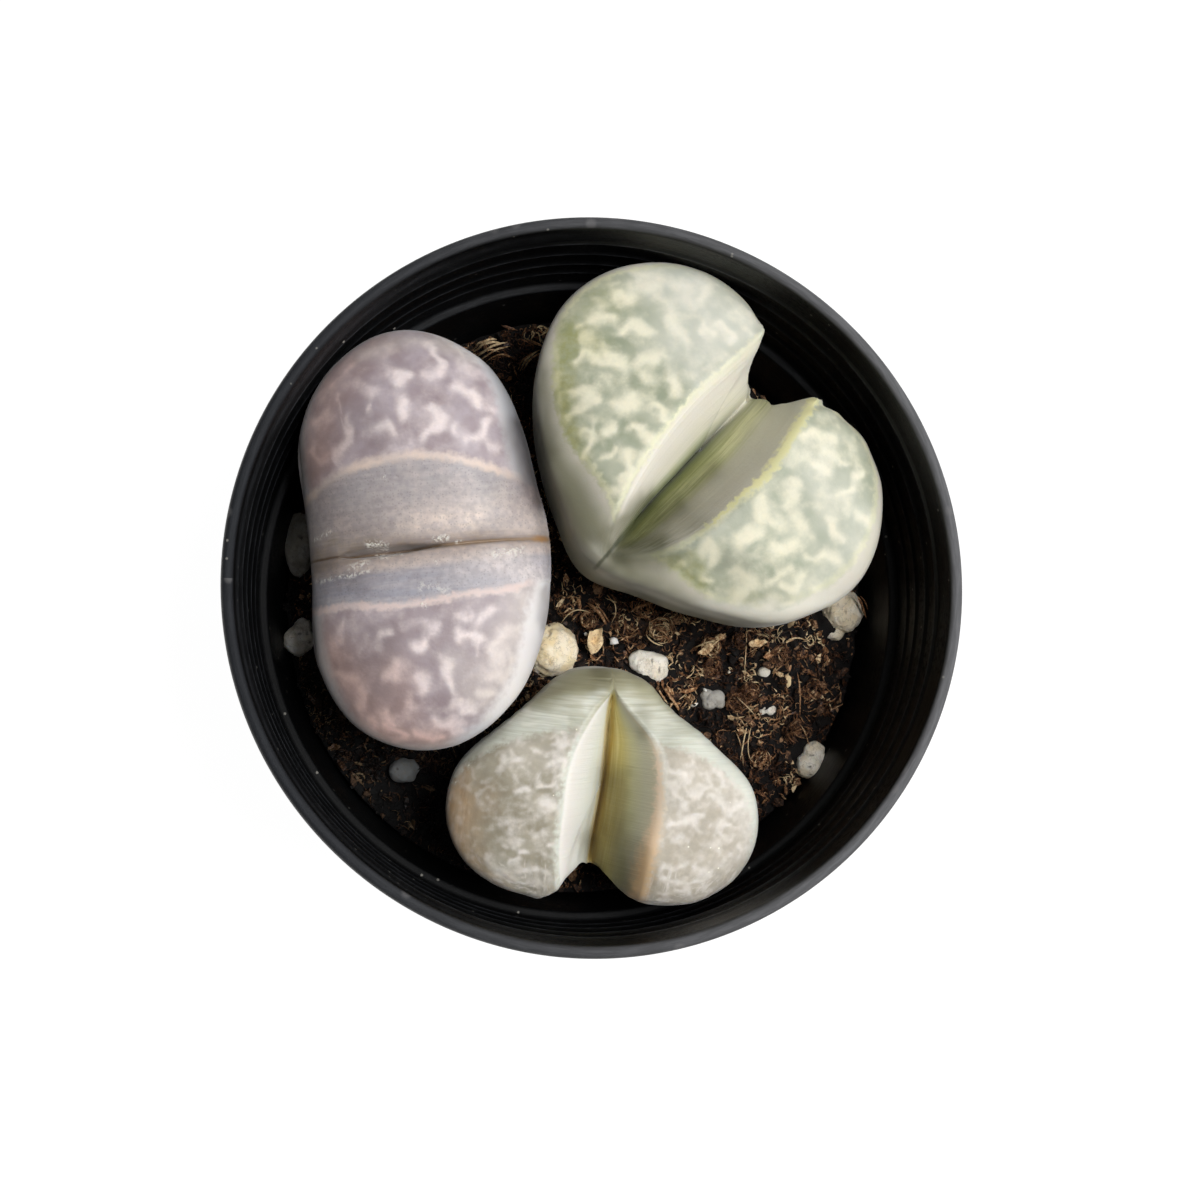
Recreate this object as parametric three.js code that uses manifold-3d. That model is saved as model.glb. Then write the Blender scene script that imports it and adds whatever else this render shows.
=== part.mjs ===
// Three living-stone plants (lithops) in a round black nursery pot.
// Millimetres, Z up. The origin is on the pot's axis, in the plane that its foot ring stands on.
import * as THREE from "three";
import { mergeVertices } from "three/addons/utils/BufferGeometryUtils.js";
import Module from "manifold-3d";

const wasm = await Module();
wasm.setup();

// Pot: a tapered wall under a wider, upright collar
const POT_HEIGHT = 60;
const RIM_RADIUS = 35;
const LIP_WIDTH = 1.3;
const COLLAR_HEIGHT = 16;
const COLLAR_FOOT_RADIUS = 33.7;
const LEDGE_WIDTH = 0.9;
const WALL = 1.1;
const BASE_RADIUS = 26;
const FOOT_HEIGHT = 1.5;
const FOOT_WIDTH = 3;
const FLOOR_THICKNESS = 1.2;
const RING_LEVELS = [56, 53, 50, 47.3];
const RING_RISE = 0.3;
const RING_HALF_HEIGHT = 0.45;
const DRAIN_RADIUS = 3;
const DRAIN_CIRCLE_RADIUS = 14;
const DRAIN_COUNT = 6;
const FOOT_SLOT_WIDTH = 5;
const FOOT_SLOT_COUNT = 4;
const POT_SIDES = 56;

// Soil: fills the tapered wall to a little below the ledge
const SOIL_LEVEL = 38;
const SOIL_CROWN = 0.9;
const SOIL_EDGE_DROP = 2.2;
const SOIL_RINGS = 13;
const SOIL_SIDES = 52;
const SEAT_GAP = 0.35;

// Plants: grid over each body, from its cleft outwards and down to the root
const BODY_COLUMNS = 44;
const INNER_ROWS = 4;
const TOP_ROWS = 6;
const WALL_ROWS = 7;
const TAPER_POWER = 1.6;
const TAPER_ROUNDNESS = 0.6;
const SCAN_STEPS = 600;

// radii: outline at even angles, measured round the body from the x axis, which crosses the cleft.
// stations along the cleft: y, x of its bottom line, z of its bottom line, width left, width right.
const PLANTS = [
  {
    name: "lithops_green",
    colour: 0xa9aa98,
    at: [11.1, 14, 55],
    lean: [0.1, 0.1],
    azimuth: 46,
    bend: -3,
    radii: [19.9, 18.8, 16.6, 10.6, 8.5, 13.2, 17.2, 19.2, 19.4, 17.9, 16.3, 15.9, 16.8, 15.5, 15.7, 18.9],
    dome: { height: 5.5, power: 2.6, slope: 0.1 },
    stations: [
      [-16.3, 0.8, 2.2, 0.1, 0.1],
      [-13.5, 0.9, 1.6, 1.9, 2.2],
      [-9, 0.7, 0.2, 3.3, 4.4],
      [-4, 0.4, -1.7, 3.9, 5.3],
      [1, 0.1, -3.3, 4, 5.9],
      [6, -0.2, -4.8, 3.4, 5.2],
      [12, -0.4, -6.2, 3, 4.6],
      [17, -0.4, -7.2, 2.8, 4.2],
    ],
    flare: 0.65,
    middle: [-9.5, 3],
    height: 27,
  },
  {
    name: "lithops_mauve",
    colour: 0x8d8488,
    at: [-16.1, 4.5, 54],
    lean: [-0.08, 0],
    azimuth: 6,
    bend: 0,
    radii: [20, 17.7, 14.6, 12.6, 11.9, 12.4, 14.7, 18.3, 20.3, 18.7, 15.3, 11.9, 10.9, 12, 15.6, 19.2],
    dome: { height: 6, power: 2.4, slope: 0 },
    stations: [
      [-13, 1.2, -1.5, 5, 4.5],
      [-10.5, 1.2, 1.2, 6, 5],
      [-8, 1.2, 2.9, 7.4, 4.9],
      [-4, 1.2, 3.7, 8.4, 5.4],
      [0, 1.2, 3.9, 8.7, 5.4],
      [4, 1.2, 3.7, 8, 5],
      [8, 1.2, 2.8, 6.5, 4.8],
      [10.5, 1.2, 1.2, 5.5, 4.2],
      [13, 1.2, -1.5, 4.5, 4],
    ],
    flare: 0.5,
    middle: [-8, 8],
    height: 26,
  },
  {
    name: "lithops_small",
    colour: 0xa8a294,
    at: [1.1, -19.1, 53],
    lean: [0.02, -0.16],
    azimuth: -93,
    bend: 0,
    radii: [14.4, 15.1, 13.9, 11.5, 8, 11.5, 14.8, 15.9, 14.8, 11.7, 10.4, 10.9, 11.1, 11, 10.9, 11.9],
    dome: { height: 4.8, power: 2.6, slope: 0.05 },
    stations: [
      [-9.5, 0, 1.8, 0.1, 0.1],
      [-7.9, 0, 1.1, 1.5, 1.4],
      [-5, -0.1, -0.2, 4, 3.1],
      [-2, -0.2, -1.6, 4.6, 4.1],
      [2, -0.1, -3, 4.8, 4.3],
      [6, 0.2, -4.3, 4.4, 4.1],
      [11, 0.3, -5.6, 4.1, 3.3],
    ],
    flare: 0.65,
    middle: [-5.5, 3],
    height: 24,
  },
];

// Perlite grains on the soil: x, y, widths along x and y, height, turn in degrees
const GRAINS = [
  [-2.7, -5.1, 4.6, 4.8, 3.6, 0],
  [7.3, -6.4, 4, 3.2, 2.8, -35],
  [27.1, -1.4, 4.2, 4.9, 3.6, 20],
  [23.9, -15.6, 3, 3.6, 2.9, 60],
  [13.9, -9.9, 3.2, 2.7, 2.3, 10],
  [19.7, -11.1, 1.9, 1.7, 1.5, 0],
  [19.5, -7.2, 1.7, 1.5, 1.4, 40],
  [-27.2, 5.3, 2.9, 5.4, 3.6, 5],
  [-27.6, -3.9, 2.9, 3.6, 2.9, -15],
  [-17.8, -17.4, 3.2, 2.8, 2.6, 25],
];
const GRAIN_SINK = 0.38;
const GRAIN_COLUMNS = 9;
const GRAIN_ROWS = 6;
const GRAIN_LUMPS = 0.07;

const TAU = 2 * Math.PI;

// Periodic smooth curve through values at even angles from 0.
function smoothRing(values, angle) {
  const n = values.length;
  const t = ((((angle / TAU) * n) % n) + n) % n;
  const i = Math.floor(t);
  const f = t - i;
  const [a, b, c, d] = [i + n - 1, i, i + 1, i + 2].map((k) => values[k % n]);
  const cubic = 3 * b - a - 3 * c + d;
  return 0.5 * (2 * b + (c - a) * f + (2 * a - 5 * b + 4 * c - d) * f * f + cubic * f ** 3);
}

// Smooth curve through the stations' value number k, carried on straight past both ends.
function smoothKeys(stations, k, y) {
  const last = stations.length - 1;
  const slope = (i) => {
    const before = stations[Math.max(i - 1, 0)];
    const after = stations[Math.min(i + 1, last)];
    if (i === 0 || i === last) return (after[k] - before[k]) / (after[0] - before[0]);
    const left = stations[i][0] - before[0];
    const right = after[0] - stations[i][0];
    const rise = (after[k] - stations[i][k]) / right;
    const fall = (stations[i][k] - before[k]) / left;
    return (left * rise + right * fall) / (left + right);
  };
  if (y <= stations[0][0]) return stations[0][k] + slope(0) * (y - stations[0][0]);
  if (y >= stations[last][0]) return stations[last][k] + slope(last) * (y - stations[last][0]);
  const i = stations.findIndex((s) => s[0] > y) - 1;
  const step = stations[i + 1][0] - stations[i][0];
  const t = (y - stations[i][0]) / step;
  const from = 2 * t ** 3 - 3 * t ** 2 + 1;
  const leave = (t ** 3 - 2 * t ** 2 + t) * step * slope(i);
  const arrive = (t ** 3 - t ** 2) * step * slope(i + 1);
  return from * stations[i][k] + (1 - from) * stations[i + 1][k] + leave + arrive;
}

// A body's shape in its own frame: x across the cleft, y along it to the open end, z up from the widest level.
function bodyShape(plant, grow) {
  const height = plant.height + grow;
  const outline = (angle) => smoothRing(plant.radii, angle) + grow;
  const spread = (x, y) => Math.hypot(x, y) / outline(Math.atan2(y, x));
  const domeTop = (x, y) => {
    const r = Math.min(spread(x, y), 1);
    const rounded = plant.dome.height * Math.sqrt(1 - r ** plant.dome.power);
    return rounded - plant.dome.slope * Math.abs(x) * (1 - r ** 4);
  };
  const cleft = (x, y) => {
    const middle = smoothKeys(plant.stations, 1, y);
    const bottom = smoothKeys(plant.stations, 2, y);
    const across = x - middle;
    const width = Math.max(smoothKeys(plant.stations, across > 0 ? 4 : 3, y), 0.05);
    const crest = domeTop(middle + Math.sign(across) * width, y);
    return bottom + (crest - bottom) * (Math.abs(across) / width) ** plant.flare;
  };
  const taper = (z) => {
    const depth = THREE.MathUtils.clamp(-z / height, 0, 1);
    return (1 - depth ** TAPER_POWER) ** TAPER_ROUNDNESS;
  };
  return { height, outline, spread, domeTop, cleft, taper };
}

// One column of points: from the cleft's bottom up its side, over the top, round the shoulder, down to the root.
function bodyColumn(plant, shape, phi) {
  const quarter = plant.radii.length / 4;
  const halfLength = 0.5 * (plant.radii[0] + plant.radii[2 * quarter]);
  const halfWidth = 0.5 * (plant.radii[quarter] + plant.radii[3 * quarter]);
  const angle = Math.atan2(halfWidth * Math.sin(phi), halfLength * Math.cos(phi));
  const startY = Math.sin(phi) * (Math.sin(phi) > 0 ? plant.middle[1] : -plant.middle[0]);
  const startX = smoothKeys(plant.stations, 1, startY);
  const endX = shape.outline(angle) * Math.cos(angle);
  const endY = shape.outline(angle) * Math.sin(angle);
  const at = (s) => [startX + (endX - startX) * s, startY + (endY - startY) * s];
  const top = ([x, y]) => Math.min(shape.cleft(x, y), shape.domeTop(x, y));
  let crest = 1;
  let edge = 1;
  for (let i = 1; i < SCAN_STEPS; i++) {
    const [x, y] = at(i / SCAN_STEPS);
    if (shape.spread(x, y) >= shape.taper(Math.min(top([x, y]), 0))) {
      edge = i / SCAN_STEPS;
      crest = Math.min(crest, edge);
      break;
    }
    if (crest === 1 && shape.cleft(x, y) >= shape.domeTop(x, y)) crest = i / SCAN_STEPS;
  }
  const points = [];
  for (let i = 0; i <= INNER_ROWS; i++) {
    const p = at((crest * i) / INNER_ROWS);
    points.push([...p, top(p)]);
  }
  for (let i = 1; i <= TOP_ROWS; i++) {
    const p = at(crest + (edge - crest) * Math.sin((0.25 * TAU * i) / TOP_ROWS));
    points.push([...p, edge < 1 ? top(p) : Math.max(top(p), 0)]);
  }
  const [x1, y1, z1] = points.at(-1);
  const angle1 = Math.atan2(y1, x1);
  const swing = Math.atan2(Math.sin(angle - angle1), Math.cos(angle - angle1));
  for (let i = 1; i <= WALL_ROWS; i++) {
    const t = i / WALL_ROWS;
    const z = z1 - (shape.height + z1) * Math.sin(0.25 * TAU * t);
    const turn = angle1 + swing * Math.min(1, 2 * t);
    const r = shape.outline(turn) * shape.taper(z);
    points.push([r * Math.cos(turn), r * Math.sin(turn), z]);
  }
  return points;
}

// The turn and place of a body in the pot: it leans, and its root bends under it.
function bodyFrame(plant) {
  const up = new THREE.Vector3(plant.lean[0], plant.lean[1], 1).normalize();
  const turn = THREE.MathUtils.degToRad(plant.azimuth);
  const along = new THREE.Vector3(Math.cos(turn), Math.sin(turn), 0);
  along.addScaledVector(up, -along.dot(up)).normalize();
  const across = new THREE.Vector3().crossVectors(along, up);
  return new THREE.Matrix4().makeBasis(across, along, up).setPosition(...plant.at);
}

// Triangles between rows of points that each run once round, with doubled points merged and flat triangles dropped.
function closedGeometry(rows) {
  const columns = rows[0].length;
  const position = rows.flat(2);
  const index = [];
  for (let i = 0; i + 1 < rows.length; i++) {
    for (let j = 0; j < columns; j++) {
      const a = i * columns + j;
      const b = i * columns + ((j + 1) % columns);
      index.push(a, a + columns, b + columns, a, b + columns, b);
    }
  }
  const raw = new THREE.BufferGeometry();
  raw.setAttribute("position", new THREE.Float32BufferAttribute(position, 3));
  raw.setIndex(index);
  const merged = mergeVertices(raw, 2e-3);
  const kept = [];
  for (let i = 0; i < merged.index.count; i += 3) {
    const [a, b, c] = [0, 1, 2].map((k) => merged.index.getX(i + k));
    if (a !== b && b !== c && c !== a) kept.push(a, b, c);
  }
  merged.setIndex(kept);
  return merged;
}

function plantGeometry(plant, grow = 0) {
  const shape = bodyShape(plant, grow);
  const columns = [];
  for (let j = 0; j < BODY_COLUMNS; j++) {
    columns.push(bodyColumn(plant, shape, (TAU * j) / BODY_COLUMNS - Math.PI));
  }
  const rows = columns[0].map((_, i) =>
    columns.map((column) => {
      const [x, y, z] = column[i];
      const depth = THREE.MathUtils.clamp(-z / shape.height, 0, 1);
      return [x, y + plant.bend * depth ** 1.5, z];
    }),
  );
  return closedGeometry(rows).applyMatrix4(bodyFrame(plant));
}

function solidOf(geometry) {
  const bare = new THREE.BufferGeometry();
  bare.setAttribute("position", geometry.getAttribute("position"));
  bare.setIndex(geometry.index);
  const merged = mergeVertices(bare, 1e-3);
  const vertProperties = new Float32Array(merged.attributes.position.array);
  return new wasm.Manifold(new wasm.Mesh({ numProp: 3, vertProperties, triVerts: new Uint32Array(merged.index.array) }));
}

function geometryOf(solid) {
  const { vertProperties, triVerts } = solid.getMesh();
  const geometry = new THREE.BufferGeometry();
  geometry.setAttribute("position", new THREE.BufferAttribute(new Float32Array(vertProperties), 3));
  geometry.setIndex(new THREE.BufferAttribute(new Uint32Array(triVerts), 1));
  geometry.computeVertexNormals();
  return geometry;
}

const ledgeLevel = POT_HEIGHT - COLLAR_HEIGHT;
const lipInner = RIM_RADIUS - LIP_WIDTH;
const collarInner = COLLAR_FOOT_RADIUS - LIP_WIDTH;
const wallTopInner = collarInner - LEDGE_WIDTH;
const floorLevel = FOOT_HEIGHT + FLOOR_THICKNESS;

// Inside radius of the collar at a height above the ledge.
function collarRadius(z) {
  return collarInner + ((lipInner - collarInner) * (z - ledgeLevel)) / COLLAR_HEIGHT;
}

// Inside radius of the tapered wall at a height below the ledge.
function wallRadius(z) {
  const baseInner = BASE_RADIUS - WALL;
  return baseInner + ((wallTopInner - baseInner) * (z - floorLevel)) / (ledgeLevel - floorLevel);
}

function makePot() {
  const footInner = BASE_RADIUS - 0.4 - FOOT_WIDTH;
  const rings = RING_LEVELS.flatMap((z) => [
    [collarRadius(z + RING_HALF_HEIGHT), z + RING_HALF_HEIGHT],
    [collarRadius(z) - RING_RISE, z],
    [collarRadius(z - RING_HALF_HEIGHT), z - RING_HALF_HEIGHT],
  ]);
  const profile = [
    [0, FOOT_HEIGHT],
    [footInner, FOOT_HEIGHT],
    [footInner, 0],
    [BASE_RADIUS - 0.4, 0],
    [BASE_RADIUS, 0.6],
    [wallTopInner + WALL, ledgeLevel - 0.5],
    [COLLAR_FOOT_RADIUS - 0.3, ledgeLevel - 0.5],
    [COLLAR_FOOT_RADIUS, ledgeLevel],
    [RIM_RADIUS, POT_HEIGHT - 0.7],
    [RIM_RADIUS - 0.35, POT_HEIGHT],
    [lipInner + 0.3, POT_HEIGHT],
    [lipInner, POT_HEIGHT - 0.5],
    ...rings,
    [collarInner, ledgeLevel + 0.3],
    [collarInner - 0.3, ledgeLevel],
    [wallTopInner, ledgeLevel],
    [wallRadius(floorLevel), floorLevel],
    [0, floorLevel],
  ];
  const points = profile.map(([r, z]) => new THREE.Vector2(r, z));
  const turned = new THREE.LatheGeometry(points, POT_SIDES).rotateX(TAU / 4);
  let solid = solidOf(turned);
  const drain = new THREE.CylinderGeometry(DRAIN_RADIUS, DRAIN_RADIUS, 2 * floorLevel, 16).rotateX(TAU / 4);
  for (let i = 0; i < DRAIN_COUNT; i++) {
    const angle = (TAU * i) / DRAIN_COUNT;
    const x = DRAIN_CIRCLE_RADIUS * Math.cos(angle);
    const y = DRAIN_CIRCLE_RADIUS * Math.sin(angle);
    solid = solid.subtract(solidOf(drain.clone().translate(x, y, floorLevel)));
  }
  const slotLength = 2 * FOOT_WIDTH;
  const slot = new THREE.BoxGeometry(slotLength, FOOT_SLOT_WIDTH, 2 * FOOT_HEIGHT - 0.2);
  slot.translate(footInner + 0.5 * FOOT_WIDTH, 0, 0);
  for (let i = 0; i < FOOT_SLOT_COUNT; i++) {
    solid = solid.subtract(solidOf(slot.clone().rotateZ((TAU * i) / FOOT_SLOT_COUNT)));
  }
  return geometryOf(solid);
}

// Height of the soil: a low crown, lumps, and a drop to the pot's wall.
function soilHeight(x, y) {
  const r = Math.hypot(x, y) / wallRadius(SOIL_LEVEL);
  const lumps = 0.5 * Math.sin(0.42 * x + 1.3) * Math.cos(0.37 * y - 0.4) + 0.3 * Math.sin(0.9 * x - 0.7 * y + 2);
  const fine = 0.2 * Math.sin(1.7 * y + 0.8 * x) * Math.cos(1.3 * x);
  return SOIL_LEVEL + SOIL_CROWN * (1 - r ** 2) + lumps + fine - SOIL_EDGE_DROP * r ** 10;
}

function makeSoil(holes) {
  const bottom = floorLevel + SEAT_GAP;
  const edge = wallRadius(SOIL_LEVEL - SOIL_EDGE_DROP) - SEAT_GAP;
  const rows = [];
  for (let i = 0; i <= SOIL_RINGS; i++) {
    const r = edge * Math.sin((0.25 * TAU * i) / SOIL_RINGS) ** 0.8;
    rows.push(ringOf(SOIL_SIDES, r, soilHeight));
  }
  rows.push(ringOf(SOIL_SIDES, wallRadius(bottom) - SEAT_GAP, () => bottom));
  rows.push(ringOf(SOIL_SIDES, 0, () => bottom));
  let solid = solidOf(closedGeometry(rows));
  for (const hole of holes) solid = solid.subtract(solidOf(hole));
  return geometryOf(solid);
}

function ringOf(sides, radius, height) {
  return Array.from({ length: sides }, (_, j) => {
    const x = radius * Math.cos((TAU * j) / sides);
    const y = radius * Math.sin((TAU * j) / sides);
    return [x, y, height(x, y)];
  });
}

// A lumpy grain: an ellipsoid with a seeded swell, sunk a part of its height into the soil.
function grainGeometry([x, y, width, depth, height, turn], seed, grow = 0) {
  const rows = [];
  for (let i = 0; i <= GRAIN_ROWS; i++) {
    const tilt = (Math.PI * i) / GRAIN_ROWS;
    rows.push(
      Array.from({ length: GRAIN_COLUMNS }, (_, j) => {
        const round = (TAU * j) / GRAIN_COLUMNS;
        const swell = Math.sin(2 * round + 1.7 * seed) * Math.sin(tilt) + Math.cos(3 * tilt + seed);
        const r = 1 + GRAIN_LUMPS * swell * Math.sin(tilt);
        return [
          (0.5 * width + grow) * r * Math.sin(tilt) * Math.cos(round),
          (0.5 * depth + grow) * r * Math.sin(tilt) * Math.sin(round),
          (0.5 * height + grow) * r * Math.cos(tilt),
        ];
      }),
    );
  }
  const geometry = closedGeometry(rows).rotateZ(THREE.MathUtils.degToRad(turn));
  return geometry.translate(x, y, soilHeight(x, y) + height * (0.5 - GRAIN_SINK));
}

function addMesh(group, name, geometry, colour, roughness) {
  const material = new THREE.MeshStandardMaterial({ color: colour, roughness, metalness: 0 });
  const mesh = new THREE.Mesh(geometry, material);
  mesh.name = name;
  group.add(mesh);
}

const pottedLithops = new THREE.Group();
const holes = [
  ...PLANTS.map((plant) => plantGeometry(plant, SEAT_GAP)),
  ...GRAINS.map((grain, i) => grainGeometry(grain, i, SEAT_GAP)),
];
addMesh(pottedLithops, "pot", makePot(), 0x17181a, 0.45);
addMesh(pottedLithops, "soil", makeSoil(holes), 0x2e2118, 0.95);
for (const plant of PLANTS) {
  addMesh(pottedLithops, plant.name, plantGeometry(plant), plant.colour, 0.6);
}
GRAINS.forEach((grain, i) => {
  const name = `perlite_grain_${String(i + 1).padStart(2, "0")}`;
  addMesh(pottedLithops, name, grainGeometry(grain, i), 0xd9d3c4, 0.9);
});

export default pottedLithops;
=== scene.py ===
"""Looks of three living-stone plants (lithops) in a round black nursery pot.

Shapes are worked out as whole arrays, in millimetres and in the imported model's frame, and go into meshes in
metres. Plants, soil, grains and pot are surfaces over a grid of two parameters. Fibres and twigs are sections
along paths.
"""
import itertools
from types import SimpleNamespace

import bpy
import numpy as np
from mathutils import Matrix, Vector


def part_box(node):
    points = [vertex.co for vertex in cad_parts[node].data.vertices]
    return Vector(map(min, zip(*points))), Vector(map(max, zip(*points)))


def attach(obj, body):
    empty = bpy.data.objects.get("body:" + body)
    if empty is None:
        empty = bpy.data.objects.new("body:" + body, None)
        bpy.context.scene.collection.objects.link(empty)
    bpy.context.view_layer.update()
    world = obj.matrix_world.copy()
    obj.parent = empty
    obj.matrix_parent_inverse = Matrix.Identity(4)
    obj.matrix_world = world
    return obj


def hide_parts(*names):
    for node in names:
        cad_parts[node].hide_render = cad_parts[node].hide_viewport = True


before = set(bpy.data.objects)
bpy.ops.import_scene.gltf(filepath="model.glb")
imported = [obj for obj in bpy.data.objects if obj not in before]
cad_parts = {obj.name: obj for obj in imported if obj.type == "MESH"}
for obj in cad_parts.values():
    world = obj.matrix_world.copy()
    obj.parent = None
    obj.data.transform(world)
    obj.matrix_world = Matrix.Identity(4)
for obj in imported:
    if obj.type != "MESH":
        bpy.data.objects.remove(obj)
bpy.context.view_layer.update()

TAU = 2 * np.pi
METRE = 0.001

# Large primes that mix the corners of the noise lattice
LATTICE_PRIMES = (73856093, 19349663, 83492791)

# Camera: the place and lens that give the photograph's view, in mm and in pixels of its 1200 x 1200 frame
PHOTO_SIDE = 1200
PHOTO_MIDDLE = PHOTO_SIDE / 2
EYE = np.array([-19.9, -19.9, 260.0])
AIM = np.array([0.16, -1.71, 59.86])
FOCAL_PIXELS = 2160
SENSOR_WIDTH = 36.0

# Nearest and farthest distance that the camera shows, in metres
NEAREST_SEEN = 0.01
FARTHEST_SEEN = 20

# Soft square lights aimed at the middle of the plants: azimuth and elevation in degrees, distance and side in
# metres, watts. The floor is in metres too.
LIGHTS = {
    "key": (4, 73, 0.8, 0.3, 5.4),
    "side": (0, 40, 0.9, 0.35, 2.4),
    "overhead": (120, 82, 1.3, 1.0, 0.9),
}
LIGHT_AIM = np.array([0, 0, 0.05])
FLOOR_HALF_SIDE = 4
FLOOR_GLOW = 0.985
AIR_LIGHT = 0.05

# Pot, in mm; its overall size comes from the frame
_, pot_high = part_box("pot")
RIM_RADIUS = pot_high.x / METRE
POT_HEIGHT = pot_high.z / METRE
LIP_WIDTH = 1.3
COLLAR_HEIGHT = 16
COLLAR_FOOT_RADIUS = RIM_RADIUS - LIP_WIDTH
LEDGE_WIDTH = 0.9
WALL = 1.1
BASE_RADIUS = 26
FOOT_HEIGHT = 1.5
FOOT_WIDTH = 3
FOOT_INSET = 0.4
FOOT_BEVEL = 0.6
LEDGE_THICKNESS = 0.5
FLOOR_THICKNESS = 1.2
RING_LEVELS = [56, 53, 50, 47.3]
RING_RISE = 0.3
RING_HALF_HEIGHT = 0.45
DRAIN_RADIUS = 3
DRAIN_CIRCLE_RADIUS = 14
DRAIN_COUNT = 6
DRAIN_SIDES = 32
FOOT_SLOT_WIDTH = 5
FOOT_SLOT_HEIGHT = 1.4
FOOT_SLOT_COUNT = 4
SLOT_TOP_LEVEL = 2.4
POT_COLUMNS = 256
CORNER_STEPS = 4

# Soil, in mm
SOIL_LEVEL = 38
SOIL_CROWN = 0.9
SOIL_EDGE_DROP = 2.2
SOIL_GAP = 0.35
CLOD_SIZE = 2.5
CLOD_HEIGHT = 1.1
LUMP_SIZE = 0.9
LUMP_HEIGHT = 0.8
WALL_CLEARANCE = 0.5
BIT_CLEARANCE = 0.3
FIBRE_CLEARANCE = 0.1
SOIL_ROWS = 110
SOIL_COLUMNS = 320

# Grid over each plant body: from its cleft outwards, over the top and down to the root
BODY_COLUMNS = 416
INNER_ROWS = 28
TOP_ROWS = 64
WALL_ROWS = 28
INNER_CROWDING = 1.5
TAPER_POWER = 1.6
TAPER_ROUNDNESS = 0.6
SCAN_STEPS = 800
UNDERCUT_START = 3.4
UNDERCUT_FULL = 0.2
SMOOTHING_ROUNDS = 10

# Waves of every plant's skin: cell and height in mm, seed
SKIN_WAVES = [(7.0, 0.1, 2), (2.4, 0.03, 4)]
ISLAND_RISE = 0.015

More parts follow.
